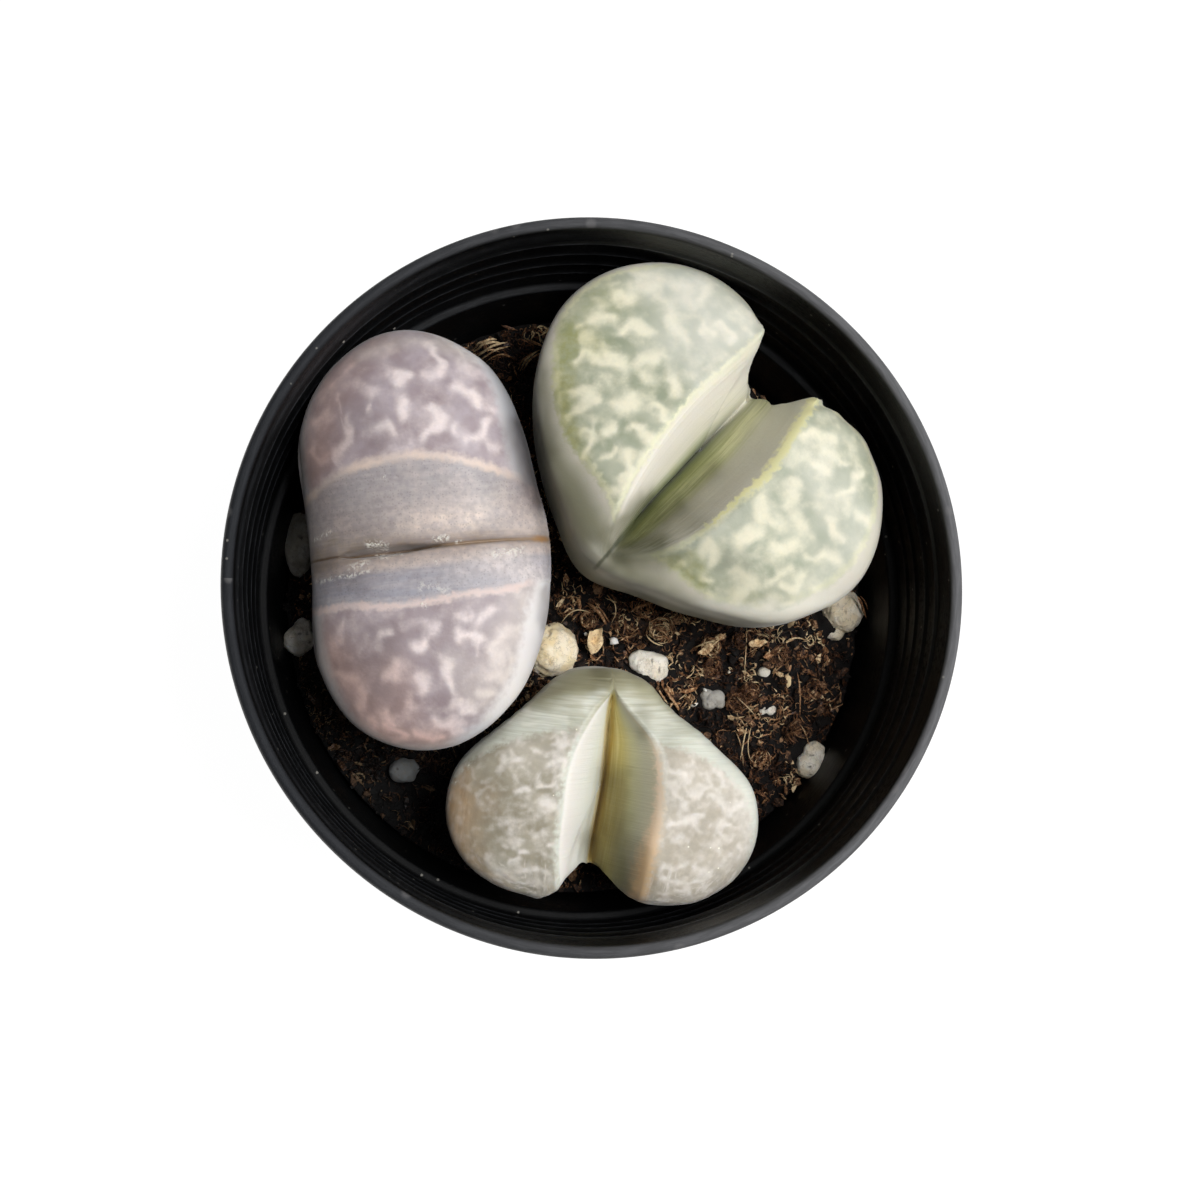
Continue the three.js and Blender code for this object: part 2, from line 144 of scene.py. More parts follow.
# Plants, each in a frame of its own. at: where its frame stands in the pot. lean: how it leans. azimuth: the
# way along the cleft, in degrees. bend: how far the root's tip goes along it.
# radii: outline at even angles, measured round the body from the x axis, which crosses the cleft.
# dome: its height, the power that rounds it and its slope away from the cleft.
# stations along the cleft: y, x of its bottom line, z of its bottom line, width left, width right.
# window: share of the outline that the clear window reaches, at the same angles as radii.
# flare: power of the cleft's sides. middle: the part of the cleft that the grid starts from.
# height: from the widest level down to the root's tip. mouth: the open gap in the cleft's bottom.
# blend: how softly cleft and dome meet at the crest.
# edges: fine shaping of the outline, as angle, width of angle and swell in mm.
# undercut: the same for how far the open end stands back below its crest.
PLANTS = {
    "lithops_green": {
        "at": [11.1, 14, 55],
        "lean": [0.1, 0.1],
        "azimuth": 46,
        "bend": -3,
        "radii": [
            19.9, 18.8, 16.6, 10.6, 8.5, 13.2, 17.2, 19.2,
            19.4, 17.9, 16.3, 15.9, 16.8, 15.5, 15.7, 18.9,
        ],
        "dome": {"height": 5.5, "power": 2.6, "slope": 0.1},
        "stations": [
            [-16.3, 0.6, 2.2, 0.1, 0.1],
            [-13.5, 0.4, 1.6, 1.4, 2.7],
            [-9, 0, 0.2, 2.6, 5.1],
            [-4, -0.1, -1.7, 3.4, 5.8],
            [1, -0.2, -3.3, 3.7, 6.2],
            [6, -0.2, -4.8, 3.4, 5.2],
            [12, -0.4, -6.2, 3, 4.6],
            [17, -0.4, -7.2, 2.8, 4.2],
        ],
        "flare": 0.65,
        "middle": [-9.5, 3],
        "height": 27,
        "blend": 0.9,
        "mouth": None,
        "edges": [
            (134, 14, 0.2), (115, 12, 0.6), (107.2, 4, 1.5), (75, 6, -1.4), (67.3, 3.6, 2.15), (59.5, 4, 0.8),
            (41, 8, -0.6), (314, 14, 0.85), (328, 10, 0.25), (346, 8, -0.25), (30, 12, -0.15),
        ],
        "undercut": [(104.5, 5.5, 2.75), (98, 3, 1.1)],
        "window": [
            0.91, 0.94, 0.97, 0.96, 0.95, 0.97, 0.98, 0.97,
            0.98, 0.93, 0.89, 0.79, 0.8, 0.88, 0.96, 0.93,
        ],
    },
    "lithops_mauve": {
        "at": [-16.1, 4.5, 54],
        "lean": [-0.08, 0],
        "azimuth": 6,
        "bend": 0,
        "radii": [20, 17.7, 14.6, 12.6, 11.9, 12.4, 14.7, 18.3, 20.3, 18.7, 15.3, 11.9, 10.9, 12, 15.6, 19.2],
        "dome": {"height": 6, "power": 2.4, "slope": 0},
        "stations": [
            [-13, 1.2, -1.5, 5, 4.5],
            [-10.5, 1.2, 1.2, 6, 5],
            [-8, 1.2, 2.9, 7.4, 4.9],
            [-4, 1.2, 3.7, 8.4, 5.4],
            [0, 1.2, 3.9, 8.7, 5.4],
            [4, 1.2, 3.7, 8, 5],
            [8, 1.2, 2.8, 6.5, 4.8],
            [10.5, 1.2, 1.2, 5.5, 4.2],
            [13, 1.2, -1.5, 4.5, 4],
        ],
        "flare": 0.5,
        "middle": [-8, 8],
        "height": 26,
        "blend": 1.6,
        "mouth": {"start": -8.1, "end": 2.8, "half_width": 0.5, "depth": 2.2},
        "edges": [(118, 24, -0.27), (210, 30, 0.25), (285, 30, 0.12), (319, 18, 0.15), (340, 40, 0.12)],
        "window": [0.97, 0.91, 0.84, 0.88, 0.85, 0.81, 0.82, 0.95, 1, 1, 0.94, 0.92, 0.9, 0.88, 0.9, 0.97],
    },
    "lithops_small": {
        "at": [1.1, -19.1, 53],
        "lean": [0.02, -0.16],
        "azimuth": -93,
        "bend": 0,
        "radii": [14.4, 15.1, 13.9, 11.5, 8, 11.5, 14.8, 15.9, 14.8, 11.7, 10.4, 10.9, 11.1, 11, 10.9, 11.9],
        "dome": {"height": 4.8, "power": 2.6, "slope": 0.05},
        "stations": [
            [-9.5, 0, 1.8, 0.1, 0.1],
            [-7.9, 0, 1.1, 1.5, 1.4],
            [-5, -0.1, -0.2, 4, 3.1],
            [-2, -0.2, -1.6, 4.6, 4.1],
            [2, -0.1, -3, 4.8, 4.3],
            [6, 0.2, -4.3, 4.4, 4.1],
            [11, 0.3, -5.6, 4.1, 3.3],
        ],
        "flare": 0.65,
        "middle": [-5.5, 3],
        "height": 24,
        "blend": 0.7,
        "mouth": None,
        "edges": [
            (15, 30, 0.2), (67, 6, 0.85), (88, 5, 0.3), (110, 11, 0.42), (140, 10, -0.1), (170, 25, 0.15),
            (228, 12, -0.35), (240, 8, -0.35), (266, 12, 0.28), (288, 14, 0.6), (325, 14, -0.28),
        ],
        "undercut": [(72, 6, 1.65), (80.5, 4, 1.15)],
        "window": [
            1.02, 1.06, 1.06, 1.04, 1.02, 1.03, 1.04, 1,
            0.93, 0.86, 0.71, 0.62, 0.55, 0.6, 0.75, 0.93,
        ],
    },
}

# Values kept at each point of a plant, which its skin reads
LEAF_VALUES = (
    "window", "crest", "inner", "depth", "along", "across", "island", "tint", "pale", "shade", "frost",
)

# Sheen of the waxy bloom, which brightens the leaves where they turn away
BLOOM = 0.22

# Strokes of the markings: the cell and seed of the noise that makes them wander, how far in mm, and how much
# wider than their reach they spread; two kinds have their own
MARK_CELL = 1.1
MARK_SEED = 11
MARK_WANDER = 0.3
MARK_SPREAD = 1.2
OWN_STROKES = {"island": (0.5, 1.35), "frost": (0.3, 1.0)}

# Markings, drawn as short soft strokes in the photograph's frame: start across and down, end across
# and down, reach, strength. island: pale spots on the windows. tint: olive or brown zones. pale: light
# zones. shade: dark zones. frost: crumbly white.
# pale zones are partly the skin's own pale patches, partly painted light. shade zones are painted shade.
MARKS = {}
MARKS["lithops_green"] = {
    "island": [
        (620, 297, 627, 296, 6, 1), (640, 273, 660, 276, 6, 0.7), (650, 288, 657, 287, 6, 0.8),
        (678, 284, 686, 289, 6, 0.8), (707, 284, 703, 303, 5, 0.9), (611, 285, 618, 282, 4, 0.5),
        (593, 320, 613, 316, 5, 0.9), (576, 327, 580, 325, 3.5, 0.7), (583, 339, 587, 340, 4, 0.7),
        (622, 331, 636, 327, 6, 1), (643, 326, 647, 331, 5, 0.9), (670, 316, 677, 331, 5, 0.9),
        (681, 334, 690, 344, 2.5, 0.7), (703, 323, 711, 336, 4, 0.9), (718, 324, 730, 337, 4, 0.9),
        (732, 338, 735, 345, 3.5, 0.8), (738, 312, 744, 314, 4.5, 0.7), (748, 324, 751, 330, 4, 0.5),
        (574, 361, 580, 356, 4, 0.8), (585, 354, 594, 357, 4.5, 0.9), (595, 360, 602, 364, 4, 0.8),
        (605, 352, 613, 357, 5.5, 1), (610, 362, 622, 363, 5.5, 1), (641, 362, 652, 360, 5.5, 0.9),
        (656, 356, 663, 353, 4, 0.7), (647, 376, 650, 379, 6, 0.8), (669, 377, 676, 386, 6, 0.9),
        (677, 389, 680, 393, 4, 0.7), (686, 370, 695, 377, 3.5, 0.5), (572, 391, 584, 392, 4, 0.9),
        (588, 393, 596, 397, 5, 0.9), (592, 400, 581, 408, 4, 0.8), (578, 410, 567, 418, 4, 0.8),
        (621, 402, 633, 400, 6.5, 1), (655, 406, 662, 413, 5, 0.9), (664, 415, 668, 419, 4, 0.6),
        (605, 377, 608, 379, 3, 0.4), (607, 434, 613, 429, 5.5, 1), (633, 427, 640, 431, 5, 0.9),
        (644, 434, 650, 440, 5.5, 0.9), (578, 433, 592, 435, 3, 0.8), (590, 440, 583, 456, 3.5, 0.9),
        (614, 450, 609, 454, 2.5, 0.8), (606, 456, 604, 459, 2.5, 0.7), (597, 465, 599, 467, 2.5, 0.6),
        (628, 455, 631, 462, 5, 1), (631, 466, 629, 476, 4.5, 0.9), (626, 480, 616, 491, 3.5, 0.8),
        (593, 421, 591, 431, 2, 0.5), (560, 376, 557, 383, 4, 0.6), (561, 393, 558, 402, 3.5, 0.6),
        (556, 350, 559, 357, 3, 0.4), (640, 345, 655, 348, 4, 0.3), (690, 355, 700, 362, 4, 0.35),
        (712, 360, 722, 352, 4, 0.3), (600, 307, 607, 303, 4, 0.4), (630, 285, 640, 283, 4, 0.4),
        (690, 300, 695, 310, 4, 0.35), (660, 300, 668, 306, 4, 0.3), (650, 395, 655, 393, 4, 0.5),
        (806, 439, 814, 436, 5, 0.9), (820, 437, 831, 440, 5, 0.8), (795, 458, 806, 456, 6, 0.6),
        (826, 451, 835, 455, 5, 0.9), (838, 459, 846, 461, 3, 0.6), (817, 466, 826, 474, 6, 1),
        (790, 482, 797, 484, 5, 0.7), (793, 492, 796, 497, 6, 0.9), (789, 503, 786, 507, 5, 0.8),
        (761, 502, 766, 512, 6, 0.9), (758, 512, 762, 517, 5, 0.7), (738, 540, 746, 536, 6, 0.95),
        (751, 532, 760, 531, 5.5, 0.9), (777, 524, 782, 526, 5, 0.6), (797, 519, 803, 530, 6, 0.8),
        (856, 477, 863, 473, 5.5, 0.9), (846, 494, 853, 490, 5, 0.9), (831, 520, 834, 527, 4.5, 0.8),
        (838, 532, 843, 538, 4.5, 0.8), (861, 517, 867, 522, 4.5, 0.8), (870, 521, 873, 526, 3.5, 0.6),
        (779, 549, 790, 550, 6.5, 1), (793, 547, 798, 543, 4, 0.7), (820, 557, 833, 559, 6, 0.9),
        (805, 560, 812, 562, 4, 0.6), (700, 552, 706, 546, 4.5, 0.8), (708, 546, 714, 555, 5, 0.9),
        (714, 558, 712, 561, 4, 0.7), (679, 566, 683, 567, 3, 0.7), (738, 572, 748, 577, 6, 1),
        (752, 581, 745, 590, 5.5, 0.9), (740, 595, 737, 603, 4, 0.8), (706, 577, 712, 583, 3.5, 0.8),
        (708, 592, 711, 597, 2.5, 0.5), (769, 584, 776, 578, 4.5, 0.9), (781, 573, 788, 570, 4.5, 0.8),
        (786, 587, 795, 586, 5, 0.9), (799, 581, 805, 577, 4, 0.8), (816, 585, 818, 597, 4.5, 0.9),
        (812, 601, 804, 604, 3, 0.6), (757, 607, 765, 609, 5, 0.9), (772, 604, 776, 600, 3, 0.5),
        (781, 605, 791, 602, 3, 0.7), (862, 547, 857, 562, 4, 0.8), (732, 603, 728, 607, 3, 0.6),
        (810, 505, 818, 508, 4, 0.4), (822, 490, 828, 494, 4, 0.35), (845, 510, 850, 507, 4, 0.4),
        (870, 545, 866, 553, 3, 0.5), (770, 560, 775, 565, 4, 0.3), (755, 555, 760, 550, 4, 0.3),
        (850, 452, 855, 459, 4, 0.4),
    ],
    "tint": [
        (585, 302, 568, 330, 13, 0.25), (564, 336, 557, 380, 12, 0.75), (558, 385, 562, 425, 12, 0.9),
        (564, 430, 578, 462, 9, 0.9), (582, 465, 598, 488, 6, 0.6), (598, 288, 612, 302, 13, 0.25),
        (582, 340, 592, 345, 11, 0.5), (672, 562, 700, 583, 8, 0.7), (690, 556, 700, 566, 6, 0.6),
        (738, 598, 790, 602, 8, 0.35),
    ],
    "pale": [
        (690, 295, 740, 335, 34, 0.85), (680, 345, 705, 350, 22, 0.6), (695, 370, 706, 388, 13, 0.5),
        (640, 275, 690, 280, 16, 0.4), (820, 470, 858, 530, 30, 0.5), (850, 560, 820, 590, 16, 0.3),
        (746, 384, 749, 397, 5, 0.9), (712, 612, 830, 606, 11, 1), (596, 548, 604, 556, 7, 0.6),
        (640, 596, 712, 614, 8, 0.7), (600, 585, 650, 600, 9, 0.7),
    ],
    "shade": [
        (616, 552, 630, 545, 12, 0.8), (628, 552, 660, 545, 10, 0.85), (640, 532, 676, 504, 14, 0.8),
        (658, 560, 672, 556, 14, 0.5), (570, 390, 572, 440, 14, 0.2), (560, 500, 590, 545, 16, 0.35),
        (690, 560, 765, 590, 26, 0.25), (630, 556, 655, 554, 9, 0.85), (614, 528, 648, 500, 9, 0.7),
        (690, 486, 712, 468, 10, 0.5), (543, 375, 552, 450, 10, 0.5), (580, 470, 600, 505, 15, 0.3),
        (676, 546, 700, 528, 13, 0.25), (702, 530, 740, 512, 16, 0.3), (728, 560, 742, 566, 12, 0.35),
        (800, 500, 840, 560, 34, 0.12),
    ],
    "frost": [],
}
MARKS["lithops_mauve"] = {
    "island": [
        (432, 347, 437, 360, 4.5, 0.8), (440, 364, 437, 370, 5, 0.9), (434, 374, 428, 379, 5, 0.7),
        (390, 370, 396, 374, 4.5, 0.6), (400, 376, 405, 378, 4.5, 1), (404, 402, 402, 410, 5.5, 1),
        (402, 413, 401, 417, 3, 0.7), (381, 429, 392, 431, 4.5, 0.8), (386, 424, 388, 428, 3.5, 0.7),
        (435, 408, 436, 416, 5, 0.9), (440, 418, 435, 424, 5.5, 1), (430, 427, 424, 431, 5, 0.9),
        (453, 427, 455, 431, 4, 0.8), (457, 388, 465, 391, 5.5, 0.9), (470, 392, 478, 403, 5, 1),
        (488, 408, 493, 411, 2.5, 0.7), (488, 422, 485, 432, 4.5, 0.9), (480, 437, 470, 441, 5, 0.8),
        (493, 446, 499, 450, 4.5, 0.7), (467, 366, 470, 369, 3.5, 0.6), (476, 372, 482, 377, 3.5, 0.5),
        (454, 351, 462, 356, 3.5, 0.6), (372, 351, 362, 356, 5, 0.45), (346, 372, 335, 384, 4.5, 0.5),
        (362, 387, 374, 392, 5, 0.4), (374, 395, 368, 409, 4, 0.4), (349, 417, 346, 430, 3.5, 0.7),
        (346, 432, 344, 445, 4, 0.7), (339, 448, 334, 455, 3.5, 0.6), (327, 417, 313, 424, 4, 0.5),
        (332, 460, 336, 463, 3.5, 0.6), (316, 452, 324, 464, 3, 0.5), (320, 400, 326, 396, 3.5, 0.35),
        (340, 393, 338, 408, 1.4, 0.5), (338, 411, 345, 433, 1.4, 0.45), (366, 411, 370, 409, 1.6, 0.8),
        (410, 446, 400, 449, 3, 0.35), (420, 395, 425, 392, 4, 0.25), (452, 410, 447, 404, 3.5, 0.3),
        (385, 355, 390, 350, 4, 0.3), (405, 343, 413, 341, 4, 0.35), (383, 635, 390, 633, 5, 0.9),
        (417, 647, 424, 644, 5, 1), (424, 643, 433, 630, 4, 0.6), (427, 625, 438, 625, 4, 0.5),
        (460, 617, 468, 614, 4, 0.7), (478, 619, 490, 610, 4.5, 0.8), (463, 637, 477, 636, 5, 0.9),
        (476, 630, 477, 658, 1.4, 0.5), (446, 662, 450, 683, 6.5, 0.9), (453, 687, 455, 693, 4, 0.6),
        (420, 680, 422, 688, 6, 0.9), (398, 664, 400, 678, 5, 0.8), (393, 677, 388, 682, 5, 0.7),
        (337, 678, 353, 680, 5, 0.7), (362, 695, 363, 708, 5, 0.8), (382, 713, 393, 720, 4, 0.8),
        (372, 722, 374, 727, 4.5, 0.6), (387, 727, 400, 735, 5, 0.8), (407, 703, 413, 708, 5, 0.5),
        (432, 722, 448, 723, 6, 0.85), (417, 732, 438, 738, 4, 0.8), (453, 705, 462, 705, 4.5, 0.7),
        (463, 713, 473, 710, 4.5, 0.8), (458, 727, 462, 728, 5, 0.7), (482, 695, 492, 697, 5, 0.8),
        (487, 675, 498, 673, 6, 0.8), (492, 643, 500, 637, 6, 0.8), (493, 652, 498, 660, 5, 0.7),
        (507, 630, 517, 630, 5, 0.6), (507, 652, 515, 660, 5, 0.6), (505, 680, 510, 673, 5, 0.6),
        (342, 625, 338, 643, 4.5, 0.6), (332, 650, 333, 658, 4, 0.45), (362, 640, 363, 652, 4, 0.35),
        (345, 657, 350, 658, 3.5, 0.35), (375, 647, 383, 647, 4, 0.3), (403, 622, 407, 628, 3.5, 0.3),
        (408, 693, 407, 700, 4, 0.35), (322, 618, 323, 620, 2, 0.5),
    ],
    "tint": [
        (330, 385, 312, 450, 20, 0.7), (350, 360, 372, 345, 16, 0.5), (318, 460, 312, 480, 12, 0.6),
        (335, 665, 372, 718, 22, 0.8), (385, 735, 440, 742, 14, 0.9), (322, 630, 326, 650, 14, 0.5),
        (395, 672, 400, 705, 18, 0.5), (318, 560, 335, 550, 12, 0.9), (335, 550, 372, 545, 8, 0.8),
    ],
    "pale": [
        (420, 520, 478, 514, 9, 1), (400, 528, 470, 526, 5, 0.5), (500, 500, 526, 520, 12, 0.4),
        (362, 356, 392, 343, 7, 0.5), (404, 341, 436, 338, 6, 0.6), (444, 344, 478, 358, 7, 0.9),
        (456, 660, 472, 682, 12, 0.5), (470, 690, 494, 712, 12, 0.5), (525, 600, 512, 690, 18, 0.9),
        (495, 560, 535, 575, 12, 0.8), (500, 640, 490, 690, 16, 0.5), (460, 570, 490, 560, 12, 0.4),
    ],
    "shade": [
        (345, 420, 330, 470, 22, 0.35), (325, 505, 350, 530, 22, 0.45), (318, 565, 355, 580, 16, 0.55),
        (522, 424, 540, 500, 10, 1), (516, 436, 530, 490, 15, 0.5), (545, 590, 546, 625, 5, 0.5),
        (370, 424, 378, 440, 14, 0.35), (378, 488, 380, 522, 26, 0.22), (382, 640, 380, 694, 16, 0.35),
        (356, 640, 352, 710, 16, 0.3), (490, 480, 515, 510, 14, 0.2),
    ],
    "frost": [
        (369, 545, 385, 547, 3.5, 1), (436, 541, 446, 539, 2.5, 1), (378, 557, 402, 555, 1.6, 1),
        (366, 562, 350, 568, 4, 0.7), (495, 552, 522, 551, 5, 0.7), (455, 540, 459, 540, 1.5, 0.9),
        (318, 583, 367, 573, 1.6, 0.7), (316, 541, 330, 531, 1.6, 0.8), (425, 602, 428, 605, 2, 0.9),
        (420, 586, 447, 590, 2.5, 0.5), (435, 562, 438, 563, 1.6, 0.9), (385, 478, 387, 479, 1.5, 0.8),
    ],
}
MARKS["lithops_small"] = {
    "island": [
        (557, 743, 563, 743, 3.5, 0.8), (550, 737, 560, 733, 2.2, 0.5), (538, 747, 535, 750, 3, 0.6),
        (512, 760, 520, 758, 3, 0.8), (502, 758, 503, 763, 3.5, 0.7), (547, 762, 562, 760, 3, 0.8),
        (563, 762, 563, 768, 2.5, 0.7), (537, 773, 540, 783, 3, 0.7), (542, 783, 557, 785, 3.5, 0.8),
        (555, 792, 560, 790, 3, 0.6), (520, 793, 530, 793, 3, 0.9), (543, 802, 553, 805, 4.5, 1),
        (513, 753, 511, 747, 2.5, 0.5), (480, 790, 490, 790, 2.5, 0.6), (480, 793, 480, 807, 2.5, 0.6),
        (462, 777, 470, 790, 2, 0.5), (472, 767, 473, 777, 2, 0.4), (508, 820, 515, 827, 6, 0.5),
        (512, 837, 518, 843, 4, 0.6), (533, 832, 540, 835, 4, 0.5), (505, 843, 507, 844, 2.5, 0.7),
        (551, 843, 552, 844, 2.2, 0.8), (512, 860, 520, 858, 2.5, 0.8), (523, 853, 530, 853, 1.8, 0.8),
        (487, 858, 497, 868, 3, 0.7), (523, 873, 547, 872, 2.5, 0.7), (512, 882, 520, 883, 2.5, 0.6),
        (533, 885, 543, 883, 2.5, 0.6), (547, 878, 550, 877, 2.5, 0.6), (498, 875, 507, 877, 2.5, 0.6),
        (670, 772, 687, 773, 3, 0.8), (697, 772, 693, 777, 3, 0.6), (672, 787, 680, 793, 3.5, 0.8),
        (683, 797, 680, 807, 3, 0.7), (695, 793, 705, 788, 3.5, 0.8), (673, 823, 690, 822, 4, 1),
        (690, 817, 700, 818, 3, 0.8), (717, 803, 725, 810, 4, 0.8), (707, 800, 713, 799, 2, 0.6),
        (722, 773, 723, 782, 3, 0.6), (714, 767, 716, 768, 3, 0.5), (733, 780, 737, 787, 3, 0.6),
        (730, 807, 740, 805, 3, 0.7), (722, 825, 727, 827, 4, 0.8), (745, 787, 748, 797, 2.5, 0.6),
        (743, 803, 752, 808, 3, 0.6), (673, 842, 683, 843, 3, 0.6), (710, 847, 715, 848, 4, 0.6),
        (738, 847, 739, 848, 2.2, 0.7), (673, 865, 683, 865, 3, 0.6), (663, 870, 670, 868, 3, 0.6),
        (697, 868, 707, 872, 3, 0.6), (662, 883, 683, 882, 2.5, 0.7), (690, 885, 703, 880, 2.5, 0.7),
        (657, 893, 670, 895, 2, 0.6), (677, 893, 690, 892, 2, 0.6), (718, 865, 720, 866, 2.5, 0.5),
        (670, 762, 668, 767, 2.2, 0.5), (690, 763, 692, 765, 3, 0.5), (705, 770, 707, 778, 2.5, 0.5),
        (700, 804, 708, 809, 3, 0.5), (710, 784, 715, 790, 2.5, 0.5), (720, 840, 728, 838, 3, 0.4),
        (525, 770, 529, 775, 2.5, 0.4), (520, 780, 514, 775, 2.5, 0.4), (560, 775, 556, 778, 2.5, 0.5),
    ],
    "tint": [
        (450, 790, 452, 840, 9, 1), (462, 775, 462, 850, 9, 0.8), (474, 800, 480, 860, 9, 0.4),
        (468, 862, 500, 885, 6, 0.5), (488, 790, 490, 810, 8, 0.3),
    ],
    "pale": [
        (748, 790, 748, 845, 12, 0.8), (735, 770, 700, 745, 8, 0.6), (700, 880, 735, 860, 8, 0.5),
        (520, 712, 565, 716, 3, 1), (524, 722, 566, 723, 2.5, 0.8), (602, 690, 585, 705, 4, 0.8),
        (625, 700, 665, 722, 9, 0.6), (560, 705, 590, 700, 7, 0.5), (520, 745, 560, 760, 14, 0.4),
        (500, 870, 550, 880, 10, 0.35),
    ],
    "shade": [
        (616, 780, 622, 875, 14, 0.7), (485, 780, 490, 840, 20, 0.25), (668, 732, 672, 800, 10, 0.3),
        (640, 712, 646, 730, 9, 0.45), (470, 755, 500, 725, 9, 0.5), (690, 840, 710, 800, 20, 0.12),
        (640, 850, 652, 888, 10, 0.4), (596, 690, 606, 674, 8, 0.4), (612, 830, 626, 885, 12, 0.6),
        (590, 840, 600, 868, 9, 0.6), (530, 700, 600, 674, 9, 0.5), (600, 674, 640, 680, 7, 0.35),
    ],
    "frost": [],
}

# Curled clumps of husk fibre: pixel across, pixel down, height, radius in mm, tone
CLUMPS = [
    (661, 631, 39.9, 1.6, 0.75), (711, 647, 39.8, 1.2, 0.7), (800, 733, 39.1, 1.6, 0.4),
    (645, 606, 39.9, 1.6, 0.55), (690, 611, 39.9, 1.5, 0.5), (626, 629, 39.7, 1.5, 0.4),
    (750, 692, 39.3, 1.2, 0.35), (781, 655, 39.5, 1.3, 0.4), (735, 702, 39.3, 1.3, 0.35),
    (770, 712, 39, 1.4, 0.45), (812, 690, 39, 1.3, 0.4), (742, 640, 39.6, 1.1, 0.3),
    (566, 606, 39.6, 1.3, 0.5), (590, 620, 39.6, 1.2, 0.55), (760, 760, 38.8, 1.2, 0.5),
    (712, 668, 39.4, 1.1, 0.3),
]

# Larger strands: pixel across, pixel down and height in mm at the start, middle and end, then
# thickness, tone
STRANDS = [
    ((472, 354, 38), (486, 344, 42), (502, 343, 41), 0.30, 0.95),
    ((470, 352, 38), (483, 342, 42.5), (497, 340, 42), 0.26, 0.85),
    ((476, 358, 38), (491, 347, 41.5), (507, 342, 41), 0.28, 0.9),
    ((480, 361, 38), (495, 350, 41), (510, 346, 40), 0.2, 0.8),
    ((474, 356, 38), (489, 350, 41), (499, 352, 40), 0.2, 0.7),
    ((486, 362, 38), (500, 354, 40.5), (512, 358, 39), 0.18, 0.6),
    ((520, 372, 38), (527, 359, 41), (539, 350, 41), 0.24, 0.85),
    ((522, 374, 38), (530, 360, 41.5), (541, 353, 41), 0.22, 0.75),
    ((518, 370, 38), (523, 360, 40.5), (533, 353, 41), 0.18, 0.7),
    ((527, 340, 39), (535, 343, 41), (543, 347, 41), 0.28, 0.65),
    ((516, 341, 39), (525, 341, 40.5), (534, 348, 40), 0.2, 0.4),
    ((500, 360, 38), (508, 356, 40), (515, 362, 38), 0.16, 0.5),
    ((512, 364, 38), (516, 372, 39.5), (520, 380, 38), 0.16, 0.45),
    ((664, 688, 39.5), (672, 699, 39.8), (681, 713, 38.8), 0.34, 0.6),
    ((656, 683, 39), (662, 694, 39.4), (670, 704, 38.8), 0.2, 0.7),
    ((857, 597, 41), (862, 606, 40.4), (866, 619, 39), 0.3, 0.5),
    ((860, 596, 40.6), (866, 603, 40), (868, 612, 39), 0.16, 0.4),
    ((562, 622, 39.5), (574, 611, 41), (590, 612, 40), 0.12, 1),
    ((605, 597, 39.5), (615, 607, 41.5), (611, 626, 39.5), 0.11, 1),
    ((586, 602, 40), (598, 612, 41), (610, 629, 39.6), 0.32, 0.55),
    ((590, 598, 40), (604, 614, 40.6), (614, 630, 39.4), 0.16, 0.45),
    ((746, 628, 39.3), (746, 650, 39.9), (744, 672, 39.3), 0.11, 0.85),
    ((797, 672, 39.2), (800, 694, 39.8), (799, 717, 39), 0.16, 0.55),
    ((737, 696, 39.2), (746, 706, 39.8), (756, 716, 39.3), 0.11, 0.9),
    ((748, 722, 39), (743, 742, 40), (741, 760, 39), 0.14, 0.95),
    ((752, 726, 39), (748, 745, 39.6), (752, 762, 39), 0.1, 0.9),
    ((735, 730, 39), (741, 748, 39.6), (744, 765, 39), 0.1, 0.8),
    ((686, 596, 40), (700, 604, 40.6), (716, 606, 39.6), 0.3, 0.45),
    ((632, 612, 40), (645, 604, 40.4), (662, 602, 40), 0.35, 0.6),
    ((694, 648, 39.5), (706, 642, 40.6), (718, 640, 39.7), 0.14, 0.9),
    ((700, 656, 39.5), (712, 645, 40.6), (722, 636, 39.8), 0.13, 0.95),
    ((772, 678, 39.3), (776, 671, 39.8), (784, 664, 39.3), 0.12, 0.6),
    ((810, 745, 38.5), (806, 733, 39.4), (800, 724, 39), 0.12, 0.7),
]

# Crumpled flakes: pixel across, pixel down, height, length, width, turn in degrees, tone
FLAKES = [
    (594, 641, 40.6, 3, 1.7, 70, 0.95),
    (757, 643, 40, 1.8, 0.8, 5, 0.9),
    (706, 650, 40.3, 1.6, 0.9, 40, 0.85),
    (720, 637, 40.2, 1.3, 0.6, 30, 0.8),
    (334, 747, 37.7, 1.2, 0.7, 20, 0.7),
    (342, 765, 37.5, 1.3, 0.6, -50, 0.45),
    (750, 690, 39.5, 1.6, 0.6, -60, 0.5),
    (770, 655, 39.8, 1.5, 0.6, 25, 0.6),
]

